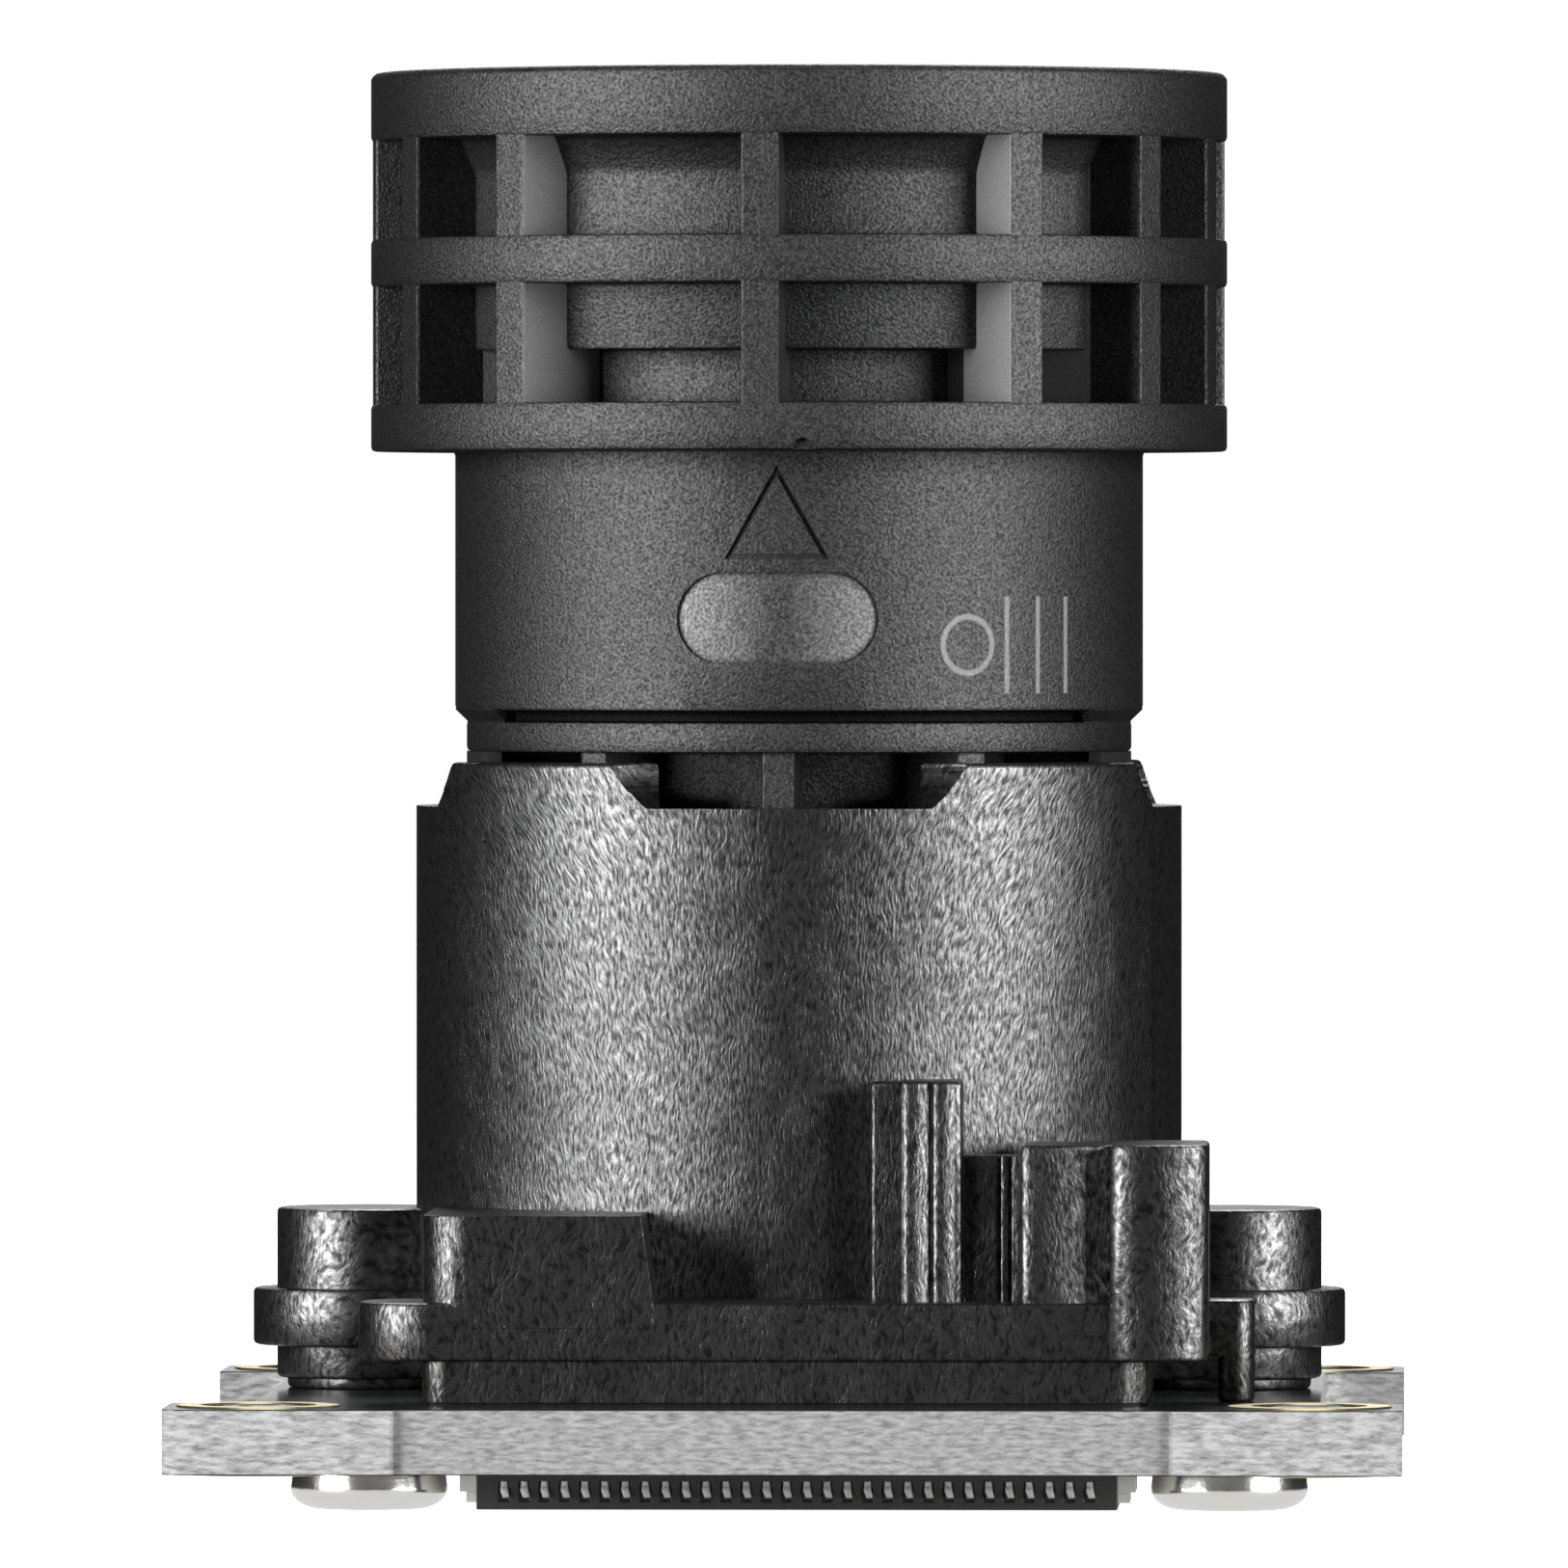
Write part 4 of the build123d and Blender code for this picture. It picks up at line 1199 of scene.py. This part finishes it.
bars = add("Math", {0: bars, 1: off_height}, operation="MULTIPLY")
ring_across = add("Math", {0: across, 1: ring_shift}, operation="ADD")
ring_place = add("CombineXYZ", {"X": ring_across, "Y": level})
ring_reach = add("VectorMath", {0: ring_place}, operation="LENGTH")
off_ring = add("Math", {0: ring_reach.outputs["Value"], 1: ring_radius}, operation="SUBTRACT")
off_ring = add("Math", {0: off_ring}, operation="ABSOLUTE")
on_ring = add("MapRange", {"Value": off_ring, **ink_edge})
inked = add("Math", {0: bars, 1: on_ring}, operation="MAXIMUM")
barrel_tone = add("Mix", {0: inked, 6: barrel_tone.outputs[2], 7: srgb("787878")}, data_type="RGBA")
grain_shine = add(
    "MapRange", {"Value": grain, "From Min": 0.36, "From Max": 0.64, "To Min": 0.24, "To Max": 0.76}
)
triangle_middle = (triangle_base + triangle_top) / 2
groove_middle = (neck_top + barrel_bottom) / 2
groove_half = (barrel_bottom - neck_top) / 2 + groove_spare
marked_rise = add(
    "Math", {0: axes.outputs["Z"], 1: triangle_middle, 2: triangle_top - triangle_middle},
    operation="COMPARE",
)
marked_side = add("Math", {0: along, 1: triangle_half}, operation="LESS_THAN")
from_axis = add("VectorMath", {0: flat_place}, operation="LENGTH")
sunk = add(
    "Math", {0: from_axis.outputs["Value"], 1: (barrel_radius - mark_depth / 3) * MM}, operation="LESS_THAN"
)
for only in (marked_rise, marked_side):
    sunk = add("Math", {0: sunk, 1: only}, operation="MULTIPLY")
line_shine = add("Mix", {0: sunk, 2: grain_shine, 3: 0.32}, data_type="FLOAT")
# Painted shadow: the groove between neck and barrel loses almost all its shine, so that it shows black.
in_groove = add("Math", {0: axes.outputs["Z"], 1: groove_middle, 2: groove_half}, operation="COMPARE")
deep = add(
    "Math", {0: from_axis.outputs["Value"], 1: (neck_radius - groove_edge) * MM}, operation="LESS_THAN"
)
groove = add("Math", {0: in_groove, 1: deep}, operation="MULTIPLY")
shine_with_painted_groove_shadow = add("Mix", {0: groove, 2: line_shine, 3: 0.03}, data_type="FLOAT")
grain_bump = add("Bump", {"Height": grain, "Strength": 0.9, "Distance": 0.026 * MM})
wire(shader, {
    "Base Color": barrel_tone.outputs[2], "Roughness": barrel_rough, "IOR": 1.59,
    "Specular IOR Level": shine_with_painted_groove_shadow, "Normal": grain_bump,
})
ready(barrel, "barrel_moulding", polycarbonate, ["lens_barrel"])


# Rings inside the barrel: blackened brass with fine turning marks. The front and rear ones
# are threaded and have two slots for a spanner, the others only keep the lenses apart.
# Blackened brass is dark and half metallic. Its turning marks are drawn coarser than
# real ones, so that they show.
ring_soft = 0.05
slot_half = 0.45
slot_sink = 0.4
turning_mm = 0.045
front_overlap = 0.36
middle_wall = 0.9
rear_wall = 0.7

blackened, add, shader = new_material("blackened brass")
place = add("TexCoord")
axes = add("SeparateXYZ", {0: place.outputs["Object"]})
flat = add("CombineXYZ", {"X": axes.outputs["X"], "Y": axes.outputs["Y"]})
reach = add("VectorMath", {0: flat}, operation="LENGTH")
lathe = add("CombineXYZ", {"X": reach.outputs["Value"], "Y": axes.outputs["Z"]})
lathe = add("VectorMath", {0: lathe, "Scale": 1 / (turning_mm * MM)}, operation="SCALE")
turning = add("TexNoise", {"Vector": lathe, "Scale": 1.0, "Detail": 2.0})
black_tone = add("ValToRGB", {0: turning}, stops=((0, "0D0D0E"), (1, "1E1D1C")))
black_rough = add("MapRange", {"Value": turning, "To Min": 0.4, "To Max": 0.55})
black_bump = add("Bump", {"Height": turning, "Strength": 0.4, "Distance": 0.01 * MM})
wire(shader, {"Base Color": black_tone, "Metallic": 0.4, "Roughness": black_rough, "Normal": black_bump})

lens_radius = box_mm("front_lens")[1]
front_wall = box_mm("front_retaining_ring")[1] - lens_radius + front_overlap
for node, wall, slotted in (
    ("front_retaining_ring", front_wall, 1), ("middle_spacer", middle_wall, 0), ("rear_spacer", rear_wall, 0),
    ("rear_retaining_ring", rear_wall, -1),
):
    outer = box_mm(node)[1]
    bottom, top = box_mm(node)[4:]
    section = [(outer - wall, bottom), (outer, bottom), (outer, top), (outer - wall, top)]
    ring = closed_turned(eased(section, ring_soft), 96)
    if slotted:
        face = top if slotted > 0 else bottom
        slot = block(-outer - 1, outer + 1, -slot_half, slot_half, face - slot_sink, face + slot_sink)
        combine(ring, slot, "DIFFERENCE")
    smooth(ring)
    ready(ring, node.replace("ring", "collar"), blackened, [node])
give("aperture_stop", blackened)


# Seal round the front lens: a ring of soft black rubber. The lens and the barrel squeeze
# it to the width of its groove.
seal_low, seal_high = box_mm("front_seal")[4:]
seal_outer = box_mm("front_seal")[1]
seal_gap = 0.02
seal_inner = lens_radius + seal_gap
seal_ease = 0.14
section = [(seal_inner, seal_low), (seal_outer, seal_low), (seal_outer, seal_high), (seal_inner, seal_high)]
seal = closed_turned(eased(section, seal_ease, 4), 96)
smooth(seal)

# Nitrile rubber: black and dull, with a faint grey bloom.
rubber = grained("black nitrile rubber", 0.25, 4.0, ["141414", "232323"], 0.75)
ready(seal, "front_seal_ring", rubber, ["front_seal"])


# Holder screws: nickel-plated steel pan heads with a cross recess. They come up through
# the board and cut their own thread in the bosses.
head_top = board_bottom_mm
head_radius = 1.56
shank_radius = 0.8
shank_root = 0.64
shank_top = head_top + 4.2
thread_start = head_top + 1.9
thread_pitch = 0.42
recess_half = 0.85
recess_width = 0.34
recess_depth = 0.6
thread_turns = 4
thread_inner = shank_root - 0.05
thread_outer = shank_radius - 0.02

head_side = [
    (0, 0), (1.0, 0.0), (1.17, 0.02), (1.32, 0.08), (1.44, 0.16), (1.52, 0.26), (head_radius, 0.36),
    (1.555, 0.45), (1.535, 0.62), (1.485, head_top - 0.05), (1.45, head_top),
    (shank_radius, head_top), (shank_radius, thread_start - 0.2),
    (shank_root, thread_start), (shank_root, shank_top - 0.5), (0.35, shank_top), (0, shank_top),
]
screw = turned(head_side, 64)
for half_x, half_y in ((recess_half, recess_width / 2), (recess_width / 2, recess_half)):
    combine(screw, block(-half_x, half_x, -half_y, half_y, -1, recess_depth), "DIFFERENCE")
smooth(screw, 30)
thread_side = [(thread_inner, 0), (thread_outer, 0.13), (thread_outer, 0.17), (thread_inner, 0.3)]
thread_side.append(thread_side[0])
thread = outline_of([(reach, 0, thread_start + height) for reach, height in thread_side])
bpy.ops.mesh.screw(steps=24, turns=thread_turns, center=(0, 0, 0), axis=(0, 0, thread_pitch * MM))
bpy.ops.mesh.select_all(action="SELECT")
bpy.ops.mesh.remove_doubles(threshold=0.002 * MM)
bpy.ops.mesh.normals_make_consistent(inside=False)
bpy.ops.object.mode_set(mode="OBJECT")
screw = join([screw, thread])

# Bright nickel on cold-formed steel: it mirrors the studio, slightly rippled.
steel = grained(
    "nickel-plated steel", 0.09, 5.0, ["E6E4DF"], (0.14, 0.26), metallic=1.0, relief=(0.3, 0.01)
)
for side, node in ((-1, "left_holder_screw"), (1, "right_holder_screw")):
    placed = copy_at(screw, Matrix.Translation((side * screw_place * MM, 0, 0)))
    ready(placed, node.replace("holder", "boss"), steel, [node])
bpy.data.objects.remove(screw)


bpy.context.scene.view_settings.view_transform = "Standard"
